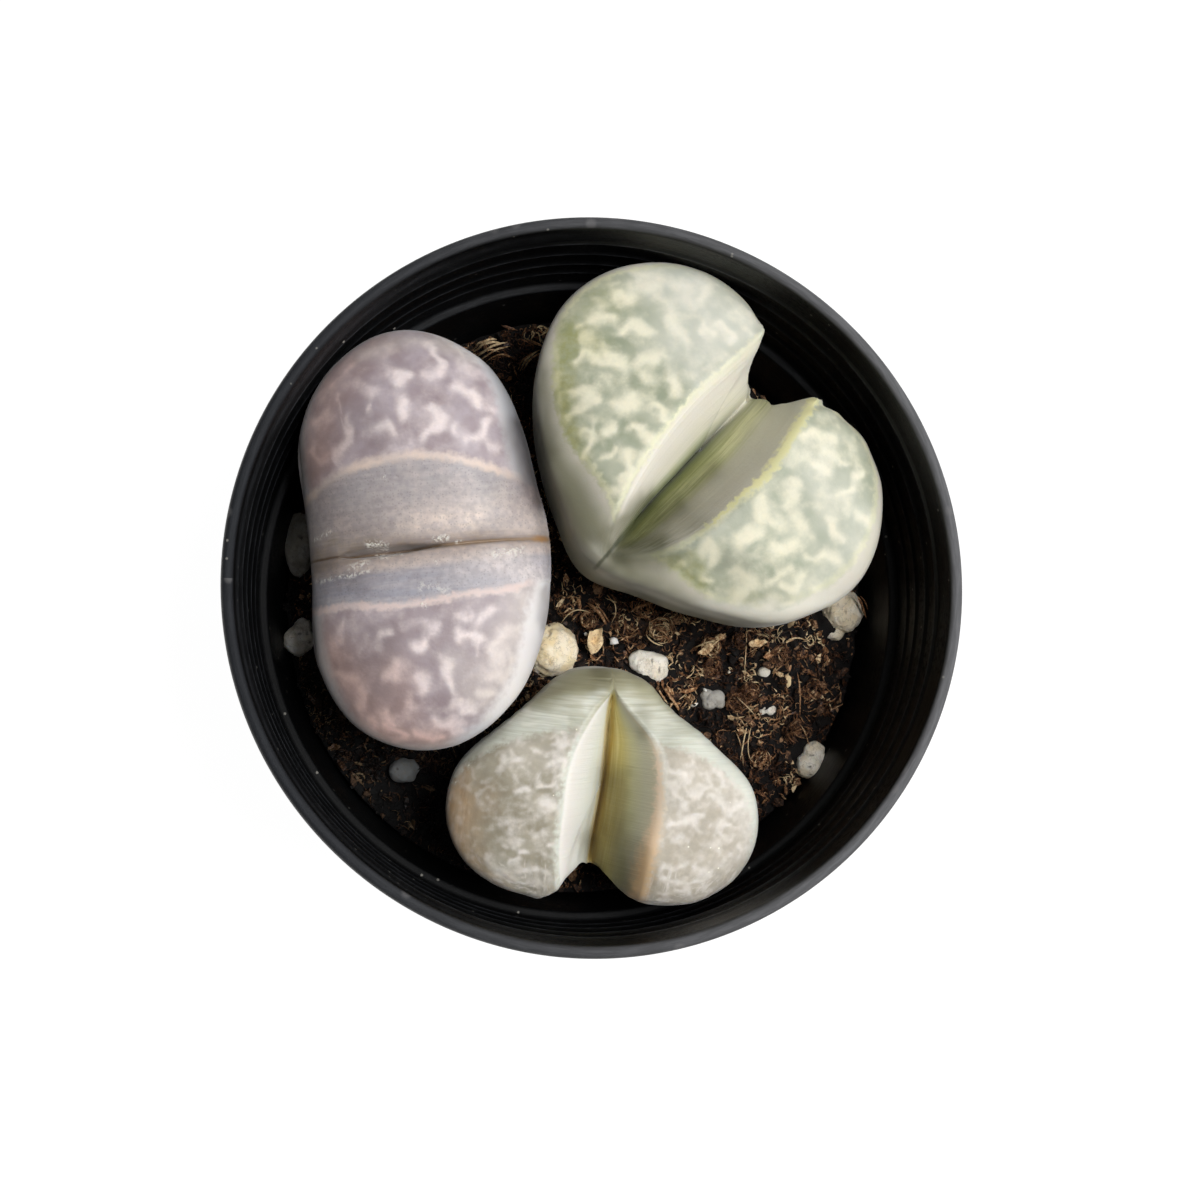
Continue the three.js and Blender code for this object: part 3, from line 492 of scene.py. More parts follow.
# Perlite grains, in the order of their names: move across and up in mm, and growth, that bring a grain to
# its place in the photograph; its warmth, its greyness and how much of its foam shows as pits; and its
# lobes, each a centre and a radius as shares of the grain's half size
GRAINS = [
    ((-0.05, -0.05, 1.17), (0.9, 0, 0.15), [(0, 0, 0, 1)]),
    ((0.05, -0.1, 0.95), (0.15, 0, 0.9), [(0.15, -0.1, 0, 0.9), (-0.35, 0.2, -0.05, 0.72)]),
    ((0.9, 0, 1.05), (0.5, 0, 0.4), [
        (0, 0.25, 0, 0.85), (-0.35, -0.5, -0.3, 0.45), (0.3, 0.5, 0.1, 0.45),
    ]),
    ((0.85, -0.65, 1.2), (0.3, 0, 1), [
        (-0.1, -0.3, 0, 0.75), (0.1, 0.5, 0, 0.5), (0.45, -0.1, -0.1, 0.5),
    ]),
    ((0, 0, 1), (0.1, 0.65, 0.9), [
        (0.3, 0.1, -0.1, 0.6), (-0.35, 0.25, -0.2, 0.5), (-0.2, -0.4, -0.1, 0.5), (0.5, -0.4, -0.3, 0.4),
    ]),
    ((0, 0, 1), (0, 0.1, 0.3), [(0.2, 0.1, 0, 0.85), (-0.5, -0.3, 0, 0.5)]),
    ((0, 0, 1), (0, 0.1, 0.5), [(0, 0, 0, 0.9), (0.4, 0.5, 0, 0.5)]),
    ((-1.4, 0, 1.12), (0.2, 0.6, 0.6), [(0, 0.1, 0, 1)]),
    ((-0.9, 0, 1.05), (0, 0.15, 0.6), [(0, -0.1, 0, 0.9), (0.2, 0.6, 0, 0.55)]),
    ((0, 0, 1), (0, 1, 0.6), [(0, 0, 0, 0.9), (0.5, 0.3, -0.1, 0.5)]),
]

# Loose white bits: pixel across, pixel down, height, size in mm
BITS = [
    (614, 641, 40.3, 0.42), (694, 705, 39.6, 0.33), (705, 690, 39.9, 0.22), (586, 634, 40.2, 0.2),
    (729, 672, 39.7, 0.2),
]

# Peat materials: colours along the tone, roughness, relief in mm, strength of the dark mottle
PEATS = {
    "peat_bed": ([
        (0, 3, 2, 2), (0.5, 12, 8, 7), (1, 36, 25, 19),
    ], 0.9, 0.12, 0.5),
    "peat_crumb": ([
        (0, 5, 4, 3), (0.4, 36, 24, 18), (0.75, 112, 80, 58), (1, 192, 150, 112),
    ], 0.85, 0.06, 0.4),
    "peat_fibre": ([
        (0, 18, 12, 9), (0.35, 86, 55, 36), (0.7, 184, 132, 90), (1, 255, 228, 180),
    ], 0.5, 0.03, 0.15),
}

# Bits of the soil: how many of each, and how finely each is made
FIBRE_COUNT = 4400
FIBRE_STEPS = 6
FIBRE_SIDES = 3
TANGLE_COUNT = 230
TANGLE_SIZE = 18
CLUMP_FIBRES = 90
STRAND_STEPS = 15
STRAND_SIDES = 6
CRUMB_COUNT = 3200
CHIP_COUNT = 1300
CRUMB_ROWS = 4
CRUMB_COLUMNS = 6
FLAKE_ROWS = 13
FLAKE_COLUMNS = 34
GRAIN_ROWS = 48
GRAIN_COLUMNS = 64
SEED = 7

# Sizes of the soil's bits in mm: the smallest, how much the largest adds to it, and a power that makes small
# ones common
CRUMB_SIZE = (0.14, 0.4, 2.5)
CHIP_LENGTH = (0.2, 0.75, 2)
FIBRE_LENGTH = (0.5, 2, 2.5)
FIBRE_LIFT = (0.1, 0.5, 2)
FIBRE_THICKNESS = (0.035, 0.1, 2)
TANGLE_LENGTH = (0.5, 1.3, 1.5)
TANGLE_LIFT = (0.2, 0.6, 2)
TANGLE_THICKNESS = (0.035, 0.08, 2)
CLUMP_THICKNESS = (0.03, 0.08, 2)

# Other measures of the bits: in mm, but flatness, lumps and pits as shares of the bit's size
CHIP_THICKNESS = 0.07
CHIP_LIFT = 0.25
TANGLE_SPREAD = 0.5
CLUMP_FLATNESS = 0.55
STRAND_WANDER = 0.12
FLAKE_THICKNESS = 0.09
GRAIN_LUMPS = 0.17
GRAIN_PITS = 0.14


def colour(red, green, blue):
    """A colour given by its display values from 0 to 255, as the linear values that shaders take."""
    display = np.array([red, green, blue]) / 255
    linear = np.where(display <= 0.04045, display / 12.92, ((display + 0.055) / 1.055) ** 2.4)
    return (*linear.tolist(), 1.0)


def unit(vectors):
    """Vectors scaled to length 1."""
    return vectors / np.maximum(np.linalg.norm(vectors, axis=-1, keepdims=True), 1e-12)


def smooth_step(values, low, high):
    """0 below low, 1 above high, and 3t^2 - 2t^3 between them."""
    t = np.clip((values - low) / (high - low), 0, 1)
    return t * t * (3 - 2 * t)


def lattice_noise(points, cell, seed=0):
    """Random values from -1 to 1 at the corners of a lattice, blended between them by 3t^2 - 2t^3."""
    scaled = np.asarray(points, float) / cell + 512
    base = np.floor(scaled).astype(np.int64)
    t = scaled - base
    t = t * t * (3 - 2 * t)
    total = 0
    for corner in itertools.product((0, 1), repeat=scaled.shape[-1]):
        mixed = np.full(scaled.shape[:-1], 7919 * seed + 104729)
        weight = 1
        for axis, (side, prime) in enumerate(zip(corner, LATTICE_PRIMES)):
            mixed = mixed ^ ((base[..., axis] + side) * prime)
            weight = weight * (t[..., axis] if side else 1 - t[..., axis])
        mixed = ((mixed ^ (mixed >> 13)) * 1274126177) & 0xFFFFFFFF
        mixed = (mixed ^ (mixed >> 15)) & 0xFFFF
        total = total + weight * mixed
    return total / 32767.5 - 1


def layered_noise(points, cell, layers, seed=0):
    """Lattice noise added up over layers, each with half the cell and half the height of the one before."""
    total = sum(0.5**k * lattice_noise(points, cell * 0.5**k, seed + 17 * k) for k in range(layers))
    return total / (2 - 0.5 ** (layers - 1))


def faces_from(index, flip=False):
    """Quads between rows of point numbers that run round, or triangles where two corners are one."""
    upper, lower = index[:-1], index[1:]
    quads = np.stack([upper, lower, np.roll(lower, -1, 1), np.roll(upper, -1, 1)], -1).reshape(-1, 4)
    if flip:
        quads = quads[:, ::-1]
    start_shared = quads[:, 0] == quads[:, 3]
    end_shared = quads[:, 1] == quads[:, 2]
    triangles = np.vstack([quads[start_shared][:, :3], quads[end_shared & ~start_shared][:, [0, 1, 3]]])
    return [quads[~start_shared & ~end_shared], triangles]


def grid_index(rows, columns):
    """Point numbers of a grid whose first and last rows are one point each."""
    index = np.arange(rows * columns).reshape(rows, columns)
    index[0] = index[0, 0]
    index[-1] = index[-1, 0]
    return index


def even_turns(count):
    """Angles at even steps once round."""
    return TAU * np.arange(count) / count


def ball_directions(rows, columns):
    """Directions all round: rows from pole to pole, and columns round them."""
    tilt = np.pi * np.arange(rows)[:, None] / (rows - 1)
    turn = even_turns(columns)
    return np.stack([np.sin(tilt) * np.cos(turn), np.sin(tilt) * np.sin(turn), np.cos(tilt) + 0 * turn], -1)


def node_box(name):
    """Low and high corner of a node's box in the frame, in mm."""
    return (np.array(corner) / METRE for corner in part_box(name))


def add_object(name, data):
    """A new object in the scene that shows a mesh, a light or a camera."""
    made = bpy.data.objects.new(name, data)
    bpy.context.scene.collection.objects.link(made)
    return made


def placement(right, up, back, spot):
    """The matrix of an object with those axes, at that spot in metres."""
    turned = np.eye(4)
    turned[:3, 0], turned[:3, 1], turned[:3, 2], turned[:3, 3] = right, up, back, spot
    return Matrix(turned.tolist())


def add_piece(name, points, faces, material, stands_for=(), values=None, smooth=True):
    """A mesh from points in mm and lists of faces, on the pot's body; values are kept at each point."""
    faces = [np.asarray(group, np.int64) for group in faces if len(group)]
    used = np.unique(np.concatenate([group.ravel() for group in faces]))
    points = np.asarray(points, float).reshape(-1, 3)[used]
    faces = [np.searchsorted(used, group) for group in faces]
    corners = np.concatenate([group.ravel() for group in faces])
    counts = np.concatenate([np.full(len(group), group.shape[1]) for group in faces])
    mesh = bpy.data.meshes.new(name)
    mesh.vertices.add(len(points))
    mesh.vertices.foreach_set("co", (points * METRE).astype(np.float32).ravel())
    mesh.loops.add(len(corners))
    mesh.polygons.add(len(counts))
    mesh.polygons.foreach_set("loop_start", (np.cumsum(counts) - counts).astype(np.int32))
    mesh.polygons.foreach_set("vertices", corners.astype(np.int32))
    for label, array in (values or {}).items():
        attribute = mesh.attributes.new(label, "FLOAT", "POINT")
        attribute.data.foreach_set("value", np.asarray(array, np.float32).ravel()[used])
    mesh.update(calc_edges=True)
    mesh.validate()
    mesh.polygons.foreach_set("use_smooth", np.full(len(mesh.polygons), smooth))
    mesh.materials.append(material)
    piece = add_object(name, mesh)
    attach(piece, "root")
    if stands_for:
        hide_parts(*stands_for)
    return piece


# Camera

def camera_axes():
    """The camera's axes in the pot's frame: right, up and forward."""
    forward = unit(AIM - EYE)
    right = unit(np.cross(forward, [0, 1, 0]))
    return right, np.cross(right, forward), forward


def photo_pixel(points):
    """Where points in mm lie in the photograph's frame: pixels across and down."""
    right, up, forward = camera_axes()
    away = np.asarray(points, float) - EYE
    distance = away @ forward
    across = PHOTO_MIDDLE + FOCAL_PIXELS * (away @ right) / distance
    return across, PHOTO_MIDDLE - FOCAL_PIXELS * (away @ up) / distance


def photo_point(across, down, level):
    """The point in mm at that level that lies at those pixels of the photograph's frame."""
    right, up, forward = camera_axes()
    sideways = (across - PHOTO_MIDDLE) / FOCAL_PIXELS
    ray = forward + right * sideways - up * ((down - PHOTO_MIDDLE) / FOCAL_PIXELS)
    return EYE + ray * (level - EYE[2]) / ray[2]


def make_camera():
    """The photograph's view, as the scene's camera."""
    right, up, forward = camera_axes()
    data = bpy.data.cameras.new("photo_view")
    data.sensor_width = SENSOR_WIDTH
    data.lens = FOCAL_PIXELS / PHOTO_SIDE * SENSOR_WIDTH
    data.clip_start = NEAREST_SEEN
    data.clip_end = FARTHEST_SEEN
    camera = add_object("photo_view", data)
    camera.matrix_world = placement(right, up, -forward, EYE * METRE)
    bpy.context.scene.camera = camera


# Shader helpers

class Nodes:
    """Adds nodes to a tree. An input given as a socket is linked, and any other value is set."""

    def __init__(self, tree):
        self.tree = tree

    def add(self, kind, inputs=None, **settings):
        """A node of that kind; inputs by number or name, settings by name."""
        node = self.tree.nodes.new(kind)
        for name, value in settings.items():
            setattr(node, name, value)
        for key, value in (inputs or {}).items():
            self.feed(node.inputs[key], value)
        return node

    def feed(self, socket, value):
        if isinstance(value, bpy.types.NodeSocket):
            self.tree.links.new(value, socket)
        else:
            socket.default_value = value

    def math(self, operation, first, second=0.0):
        return self.add("ShaderNodeMath", {0: first, 1: second}, operation=operation).outputs[0]

    def plus(self, first, second):
        return self.math("ADD", first, second)

    def minus(self, first, second):
        return self.math("SUBTRACT", first, second)

    def over(self, first, second):
        return self.math("DIVIDE", first, second)

    def size(self, value):
        """A value without its sign."""
        return self.math("ABSOLUTE", value)

    def times(self, *factors):
        product = factors[0]
        for factor in factors[1:]:
            product = self.math("MULTIPLY", product, factor)
        return product

    def both(self, first, second):
        """The larger of two masks."""
        return self.math("MAXIMUM", first, second)

    def less(self, value):
        """1 minus a mask."""
        return self.minus(1.0, value)

    def mix(self, first, second, share, way="MIX"):
        """The second colour over the first by that share."""
        inputs = {0: share, 6: first, 7: second}
        return self.add("ShaderNodeMix", inputs, data_type="RGBA", blend_type=way).outputs[2]

    def paint(self, base, *layers):
        """Colours over a base, one after another: red, green, blue and masks that are multiplied."""
        for red, green, blue, *masks in layers:
            base = self.mix(base, colour(red, green, blue), self.times(*masks))
        return base

    def dim(self, first, tint, share):
        """The first colour, multiplied by a tint by that share."""
        return self.mix(first, tint, share, "MULTIPLY")

    def step(self, value, low, high, bottom=0.0, top=1.0):
        """From bottom where value is low to top where it is high, by 3t^2 - 2t^3."""
        inputs = {"Value": value, "From Min": low, "From Max": high, "To Min": bottom, "To Max": top}
        return self.add("ShaderNodeMapRange", inputs, interpolation_type="SMOOTHSTEP").outputs[0]

    def line(self, value, middle, half_width):
        """A mask that is 1 where value is middle and falls to 0 at half_width from it."""
        return self.step(self.size(self.minus(value, middle)), half_width, 0.0)

    def noise(self, place, size, detail=3.0, roughness=0.5):
        """Noise from 0 to 1 with features of that size in the units of place."""
        inputs = {"Vector": place, "Scale": 1 / size, "Detail": detail, "Roughness": roughness}
        return self.add("ShaderNodeTexNoise", inputs).outputs[0]

    def wobble(self, place, size):
        """Noise from -0.5 to 0.5."""
        return self.minus(self.noise(place, size), 0.5)

    def ramp(self, value, stops):
        """Colours along a value; a stop is its place, then red, green and blue."""
        node = self.add("ShaderNodeValToRGB", {0: value})
        elements = node.color_ramp.elements
        for element, (position, *shade) in zip(elements, (stops[0], stops[-1])):
            element.position, element.color = position, colour(*shade)
        for position, *shade in stops[1:-1]:
            elements.new(position).color = colour(*shade)
        return node.outputs[0]

    def value(self, name):
        """A value that is kept at each point."""
        return self.add("ShaderNodeAttribute", attribute_name=name).outputs["Fac"]

    def place(self):
        """Object coordinates in mm."""
        raw = self.add("ShaderNodeTexCoord").outputs["Object"]
        inputs = {0: raw, 1: (1 / METRE,) * 3}
        return self.add("ShaderNodeVectorMath", inputs, operation="MULTIPLY").outputs[0]

    def vector(self, x, y, z=0.0):
        return self.add("ShaderNodeCombineXYZ", {0: x, 1: y, 2: z}).outputs[0]

    def effect(self, name, **inputs):
        """The outputs of the shader group of that name."""
        return self.add("ShaderNodeGroup", inputs, node_tree=effects[name]).outputs

    def mottle(self, place, size):
        return self.effect("mottle", Place=place, Size=size)

    def speckle(self, place, size, share, radius):
        return self.effect("speckle", Place=place, Size=size, Share=share, Radius=radius)[0]

    def streaks(self, place, length, width):
        return self.effect("streaks", Place=place, Length=length, Width=width)[0]


def effect_group(name, outputs, **defaults):
    """A new shader group with Place and number inputs: returns it, its nodes, and what goes in and out."""
    tree = bpy.data.node_groups.new(name, "ShaderNodeTree")
    tree.interface.new_socket(name="Place", in_out="INPUT", socket_type="NodeSocketVector")
    for label, default in defaults.items():
        socket = tree.interface.new_socket(name=label, in_out="INPUT", socket_type="NodeSocketFloat")
        socket.default_value = default
    for label in outputs:
        tree.interface.new_socket(name=label, in_out="OUTPUT", socket_type="NodeSocketFloat")
    nodes = Nodes(tree)
    return tree, nodes, nodes.add("NodeGroupInput").outputs, nodes.add("NodeGroupOutput").inputs


def make_mottle():
    """Soft patches: noise at a size in mm and at a fifth of it."""
    tree, nodes, source, sink = effect_group("mottle", ["Coarse", "Fine"], Size=5)
    scale = nodes.over(1, source["Size"])
    for label, finer, detail in (("Coarse", 1, 2), ("Fine", 5, 3)):
        inputs = {"Vector": source["Place"], "Scale": nodes.times(scale, finer), "Detail": detail}
        field = nodes.add("ShaderNodeTexNoise", inputs).outputs[0]
        nodes.feed(sink[label], nodes.step(field, 0.3, 0.7))
    return tree


def make_speckle():
    """Small round dots in a share of the cells of a cell pattern whose cells have that size in mm."""
    tree, nodes, source, sink = effect_group("speckle", ["Dots"], Size=0.5, Share=0.3, Radius=0.3)
    scale = nodes.over(1, source["Size"])
    cells = nodes.add("ShaderNodeTexVoronoi", {"Vector": source["Place"], "Scale": scale})
    chance = nodes.add("ShaderNodeSeparateColor", {0: cells.outputs["Color"]}).outputs[0]
    chosen = nodes.math("LESS_THAN", chance, source["Share"])
    dot = nodes.step(cells.outputs["Distance"], source["Radius"], nodes.times(source["Radius"], 0.4))
    nodes.feed(sink["Dots"], nodes.times(chosen, dot))
    return tree


def make_streaks():
    """Fine lines: noise drawn out in one direction. Place holds the way along and the way across, in mm."""
    tree, nodes, source, sink = effect_group("streaks", ["Lines"], Length=8, Width=0.4)
    along, across, third = nodes.add("ShaderNodeSeparateXYZ", {0: source["Place"]}).outputs
    drawn = nodes.vector(nodes.over(along, source["Length"]), nodes.over(across, source["Width"]), third)
    nodes.feed(sink["Lines"], nodes.step(nodes.noise(drawn, 1, 3, 0.6), 0.35, 0.68))
    return tree


def make_hairs():
    """Thin curly lines where warped noise crosses its middle, at a size in mm and at over half of it."""
    tree, nodes, source, sink = effect_group("hairs", ["Hairs"], Size=0.8)
    scale = nodes.over(1, source["Size"])
    layers = []
    for finer, middle in ((1, 0.5), (1.7, 0.47)):
        inputs = {"Vector": source["Place"], "Scale": nodes.times(scale, finer), "Detail": 2}
        field = nodes.add("ShaderNodeTexNoise", {**inputs, "Distortion": 1.2}).outputs[0]
        layers.append(nodes.line(field, middle, 0.03))
    nodes.feed(sink["Hairs"], nodes.both(layers[0], nodes.times(layers[1], 0.7)))
    return tree


def make_dust():
    """A thin uneven film and loose specks."""
    tree, nodes, source, sink = effect_group("dust", ["Film", "Specks"], Amount=0.5)
    broad = nodes.noise(source["Place"], 6, 4, 0.6)
    fibrous = nodes.noise(source["Place"], 0.5, 4, 0.7)
    film = nodes.times(nodes.step(broad, 0.35, 0.7), nodes.step(fibrous, 0.35, 0.75), source["Amount"])
    nodes.feed(sink["Film"], film)
    nodes.feed(sink["Specks"], nodes.times(nodes.speckle(source["Place"], 0.8, 0.05, 0.22), source["Amount"]))
    return tree


effects = {}
for maker in (make_mottle, make_speckle, make_streaks, make_hairs, make_dust):
    effects[maker.__name__.removeprefix("make_")] = maker()


def start_material(name, roughness, specular, subsurface=0.0, reach=1.0):
    """A material with its Principled shader; reach is how far light spreads inside, in mm."""
    material = bpy.data.materials.new(name)
    material.use_nodes = True
    nodes = Nodes(material.node_tree)
    shader = material.node_tree.nodes["Principled BSDF"]
    for label, value in (
        ("Roughness", roughness),
        ("Specular IOR Level", specular),
        ("Subsurface Weight", subsurface),
        ("Subsurface Radius", (1.0, 0.75, 0.5)),
        ("Subsurface Scale", reach * METRE),
    ):
        shader.inputs[label].default_value = value
    return material, nodes, shader


def finish_material(nodes, shader, base, roughness, height, depth):
    """Links colour, roughness and a bump whose full height is depth in mm."""
    bump = nodes.add("ShaderNodeBump", {"Strength": 1.0, "Distance": depth * METRE, "Height": height})
    nodes.feed(shader.inputs["Base Color"], base)
    nodes.feed(shader.inputs["Roughness"], roughness)
    nodes.feed(shader.inputs["Normal"], bump.outputs[0])


# Plants: shape

def smooth_ring(values, angle):
    """Periodic Catmull-Rom curve through values at even angles from 0."""
    ring = np.asarray(values, float)
    t = (angle / TAU * len(ring)) % len(ring)
    i = np.floor(t).astype(int)
    f = t - i
    a, b, c, d = (ring[(i + k) % len(ring)] for k in (-1, 0, 1, 2))
    cubic = 3 * b - a - 3 * c + d
    return 0.5 * (2 * b + (c - a) * f + (2 * a - 5 * b + 4 * c - d) * f**2 + cubic * f**3)


def smooth_keys(stations, column, y):
    """Hermite curve through one value of the stations: slopes from neighbours, straight past both ends."""
    keys = np.asarray(stations, float)
    place, value = keys[:, 0], keys[:, column]
    gap = np.diff(place)
    rise = np.diff(value) / gap
    blended = (gap[:-1] * rise[1:] + gap[1:] * rise[:-1]) / (gap[:-1] + gap[1:])
    slope = np.concatenate([rise[:1], blended, rise[-1:]])
    inside = np.clip(y, place[0], place[-1])
    i = np.clip(np.searchsorted(place, inside, side="right") - 1, 0, len(gap) - 1)
    t = (inside - place[i]) / gap[i]
    start = 2 * t**3 - 3 * t**2 + 1
    leave = (t**3 - 2 * t**2 + t) * gap[i] * slope[i]
    arrive = (t**3 - t**2) * gap[i] * slope[i + 1]
    past = slope[0] * np.minimum(y - place[0], 0) + slope[-1] * np.maximum(y - place[-1], 0)
    return start * value[i] + (1 - start) * value[i + 1] + leave + arrive + past


def soft_min(first, second, blend):
    """The smaller of two heights, rounded where they come within blend of each other."""
    share = np.clip(0.5 + 0.5 * (second - first) / blend, 0, 1)
    return second * (1 - share) + first * share - blend * share * (1 - share)


class Body:
    """A plant body in its own frame: x across the cleft, y along it to its open end, z up from its widest."""

    def __init__(self, plant):
        self.plant = plant
        self.stations = plant["stations"]
        up = unit(np.array([*plant["lean"], 1.0]))
        turn = np.radians(plant["azimuth"])
        along = np.array([np.cos(turn), np.sin(turn), 0])
        along = unit(along - up * (along @ up))
        self.axes = np.stack([np.cross(along, up), along, up])

    def swell(self, label, angle):
        """Fine shaping in mm: the sum of height * exp(-((angle - middle) / width)^2) over a list."""
        total = 0 * angle
        for middle, width, height in self.plant.get(label, ()):
            away = (np.degrees(angle) - middle + 180) % 360 - 180
            total = total + height * np.exp(-((away / width) ** 2))
        return total

    def outline(self, angle):
        return smooth_ring(self.plant["radii"], angle) + self.swell("edges", angle)

    def spread(self, x, y):
        """Distance from the middle as a share of the outline's."""
        return np.hypot(x, y) / self.outline(np.arctan2(y, x))

    def dome(self, x, y):
        """Height times the root of 1 - share^power, less a slope away from the cleft."""
        form = self.plant["dome"]
        share = np.minimum(self.spread(x, y), 1)
        rounded = form["height"] * np.sqrt(1 - share ** form["power"])
        return rounded - form["slope"] * np.abs(x) * (1 - share**4)

    def across(self, x, y):
        """How far right of the cleft's bottom line."""
        return x - smooth_keys(self.stations, 1, y)

    def cleft_width(self, x, y):
        """Width of the cleft on the side of the point."""
        side = self.across(x, y) > 0
        width = np.where(side, smooth_keys(self.stations, 4, y), smooth_keys(self.stations, 3, y))
        return np.maximum(width, 0.05)

    def mouth_width(self, y):
        """Half width of the gap in the cleft's bottom: t^0.8 (1 - t)^1.7 along it, scaled to 1 at most."""
        mouth = self.plant["mouth"]
        if not mouth:
            return np.zeros_like(y)
        t = np.clip((y - mouth["start"]) / (mouth["end"] - mouth["start"]), 0, 1)
        return mouth["half_width"] * t**0.8 * (1 - t) ** 1.7 / 0.2086

    def cleft(self, x, y):
        """From the bottom line up to the crest by (distance / width)^flare; the gap is sunk below it."""
        middle = smooth_keys(self.stations, 1, y)
        bottom = smooth_keys(self.stations, 2, y)
        away = x - middle
        width = self.cleft_width(x, y)
        crest = self.dome(middle + np.sign(away) * width, y)
        gap = self.mouth_width(y)
        share = np.maximum(np.abs(away) - gap, 0) / np.maximum(width - gap, 0.05)
        height = bottom + np.maximum(crest - bottom, 0) * share ** self.plant["flare"]
        if self.plant["mouth"]:
            sunk = np.clip(1 - (np.abs(away) / np.maximum(gap, 0.01)) ** 2, 0, 1)
            height = height - self.plant["mouth"]["depth"] * sunk * np.minimum(gap / 0.3, 1)
        return height

    def depth(self, z):
        """Depth under the widest level as a share of the height."""
        return np.clip(-z / self.plant["height"], 0, 1)

    def taper(self, z):
        """Share of the outline left below the widest level: (1 - depth^power)^roundness."""
        return (1 - self.depth(z) ** TAPER_POWER) ** TAPER_ROUNDNESS

    def to_pot(self, points):
        """From the body's frame to the pot's: the root bends by depth^1.5, then the body turns and moves."""
        depth = self.depth(points[..., 2])
        bent = points + np.stack([0 * depth, self.plant["bend"] * depth**1.5, 0 * depth], -1)
        return bent @ self.axes + self.plant["at"]

    def holds(self, points, margin):
        """True where points of the pot's frame lie inside the body's wall or within margin of it."""
        own = (np.asarray(points, float) - self.plant["at"]) @ self.axes.T
        x, y = own[..., 0], own[..., 1] - self.plant["bend"] * self.depth(own[..., 2]) ** 1.5
        reach = self.outline(np.arctan2(y, x)) * self.taper(np.minimum(own[..., 2], 0))
        return np.hypot(x, y) < reach + margin


def crest_and_edge(body, at):
    """How far out each column has its crest and its edge, as shares, and which columns lack a crest."""
    scan = np.linspace(0, 1, SCAN_STEPS + 1)[:, None]
    x, y = at(scan)
    cleft, dome = body.cleft(x, y), body.dome(x, y)
    met = cleft >= dome
    met[0], met[-1] = False, True
    outside = body.spread(x, y) >= body.taper(np.minimum(np.minimum(cleft, dome), 0)) - 1e-9
    outside[-1] = True
    first_met = np.argmax(met, axis=0)
    first_outside = np.argmax(outside, axis=0)
    opened = first_outside < first_met
    edge = np.where(opened, scan[first_outside, 0], 1.0)
    return np.where(opened, edge, scan[first_met, 0]), edge, opened


def wall_below(body, x, y, z, angle):
    """The wall from the edge of the top down to the root, while each column swings to its even angle."""
    edge_angle = np.arctan2(y, x)
    swing = (angle - edge_angle + np.pi) % TAU - np.pi
    t = np.arange(1, WALL_ROWS + 1)[:, None] / WALL_ROWS
    fall = 0.5 - 0.5 * np.cos(np.pi * t)
    level = z - (body.plant["height"] + z) * fall
    turn = edge_angle + swing * np.minimum(1, 2 * t)
    reach = body.outline(turn) * body.taper(level)
    return reach * np.cos(turn), reach * np.sin(turn), level


def body_grid(body):
    """Points of a body in its own frame, row by row, with the values that its skin reads."""
    plant = body.plant
    phi = even_turns(BODY_COLUMNS) - np.pi
    radii = plant["radii"]
    quarter = len(radii) // 4
    half_length = 0.5 * (radii[0] + radii[2 * quarter])
    half_width = 0.5 * (radii[quarter] + radii[3 * quarter])
    angle = np.arctan2(half_width * np.sin(phi), half_length * np.cos(phi))
    start_y = np.sin(phi) * np.where(np.sin(phi) > 0, plant["middle"][1], -plant["middle"][0])
    start_x = smooth_keys(body.stations, 1, start_y)
    end_x = body.outline(angle) * np.cos(angle)
    end_y = body.outline(angle) * np.sin(angle)

    def at(share):
        return start_x + (end_x - start_x) * share, start_y + (end_y - start_y) * share

    crest, edge, opened = crest_and_edge(body, at)
    inner = crest * (np.arange(INNER_ROWS + 1)[:, None] / INNER_ROWS) ** INNER_CROWDING
    outer = crest + (edge - crest) * np.sin(0.25 * TAU * np.arange(1, TOP_ROWS + 1)[:, None] / TOP_ROWS)
    x, y = at(np.vstack([inner, outer]))
    cleft = body.cleft(x, y)
    rounded = smooth_step(np.arange(len(x)), 0, INNER_ROWS)[:, None]
    z = cleft + (soft_min(cleft, body.dome(x, y), plant["blend"]) - cleft) * rounded

    across = body.across(x, y)
    crest_gap = np.abs(across) - body.cleft_width(x, y)
    inner_share = np.abs(across) / body.cleft_width(x, y)
    reach = body.outline(np.arctan2(y, x))
    limit = smooth_ring(plant["window"], np.arctan2(y, x))
    window = np.minimum((limit - body.spread(x, y)) * reach, crest_gap)

    wall_x, wall_y, wall_z = wall_below(body, x[-1], y[-1], z[-1], angle)
    depth = z[-1] - wall_z
    points = np.stack([np.vstack([x, wall_x]), np.vstack([y, wall_y]), np.vstack([z, wall_z])], -1)
    back = body.swell("undercut", np.arctan2(points[..., 1], points[..., 0]))
    points[..., 1] -= back * smooth_step(points[..., 2], UNDERCUT_START, UNDERCUT_FULL)
    values = {
        "window": np.vstack([window, window[-1] - depth]),
        "crest": np.vstack([crest_gap, crest_gap[-1] + depth]),
        "inner": np.vstack([inner_share, inner_share[-1] + 0.5 * depth]),
        "depth": np.vstack([0 * x, depth]),
        "along": np.vstack([y, wall_y]),
        "across": np.vstack([across, body.across(wall_x, wall_y)]),
    }
    return points, values, opened


def relax(points, weight, rounds):
    """Moves each point towards the mean of its four neighbours on the grid, by its weight."""
    for _ in range(rounds):
        mean = 0.25 * (np.roll(points, 1, 1) + np.roll(points, -1, 1))
        mean[1:-1] += 0.25 * (points[2:] + points[:-2])
        change = (mean - points) * weight[..., None]
        points[1:-1] += change[1:-1]
    return points


def grid_normals(points):
    """Unit normals of a grid whose rows run round, from the cross product of the steps down and round."""
    down = np.gradient(points, axis=0)
    sideways = np.roll(points, -1, 1) - np.roll(points, 1, 1)
    return unit(np.cross(down, sideways))


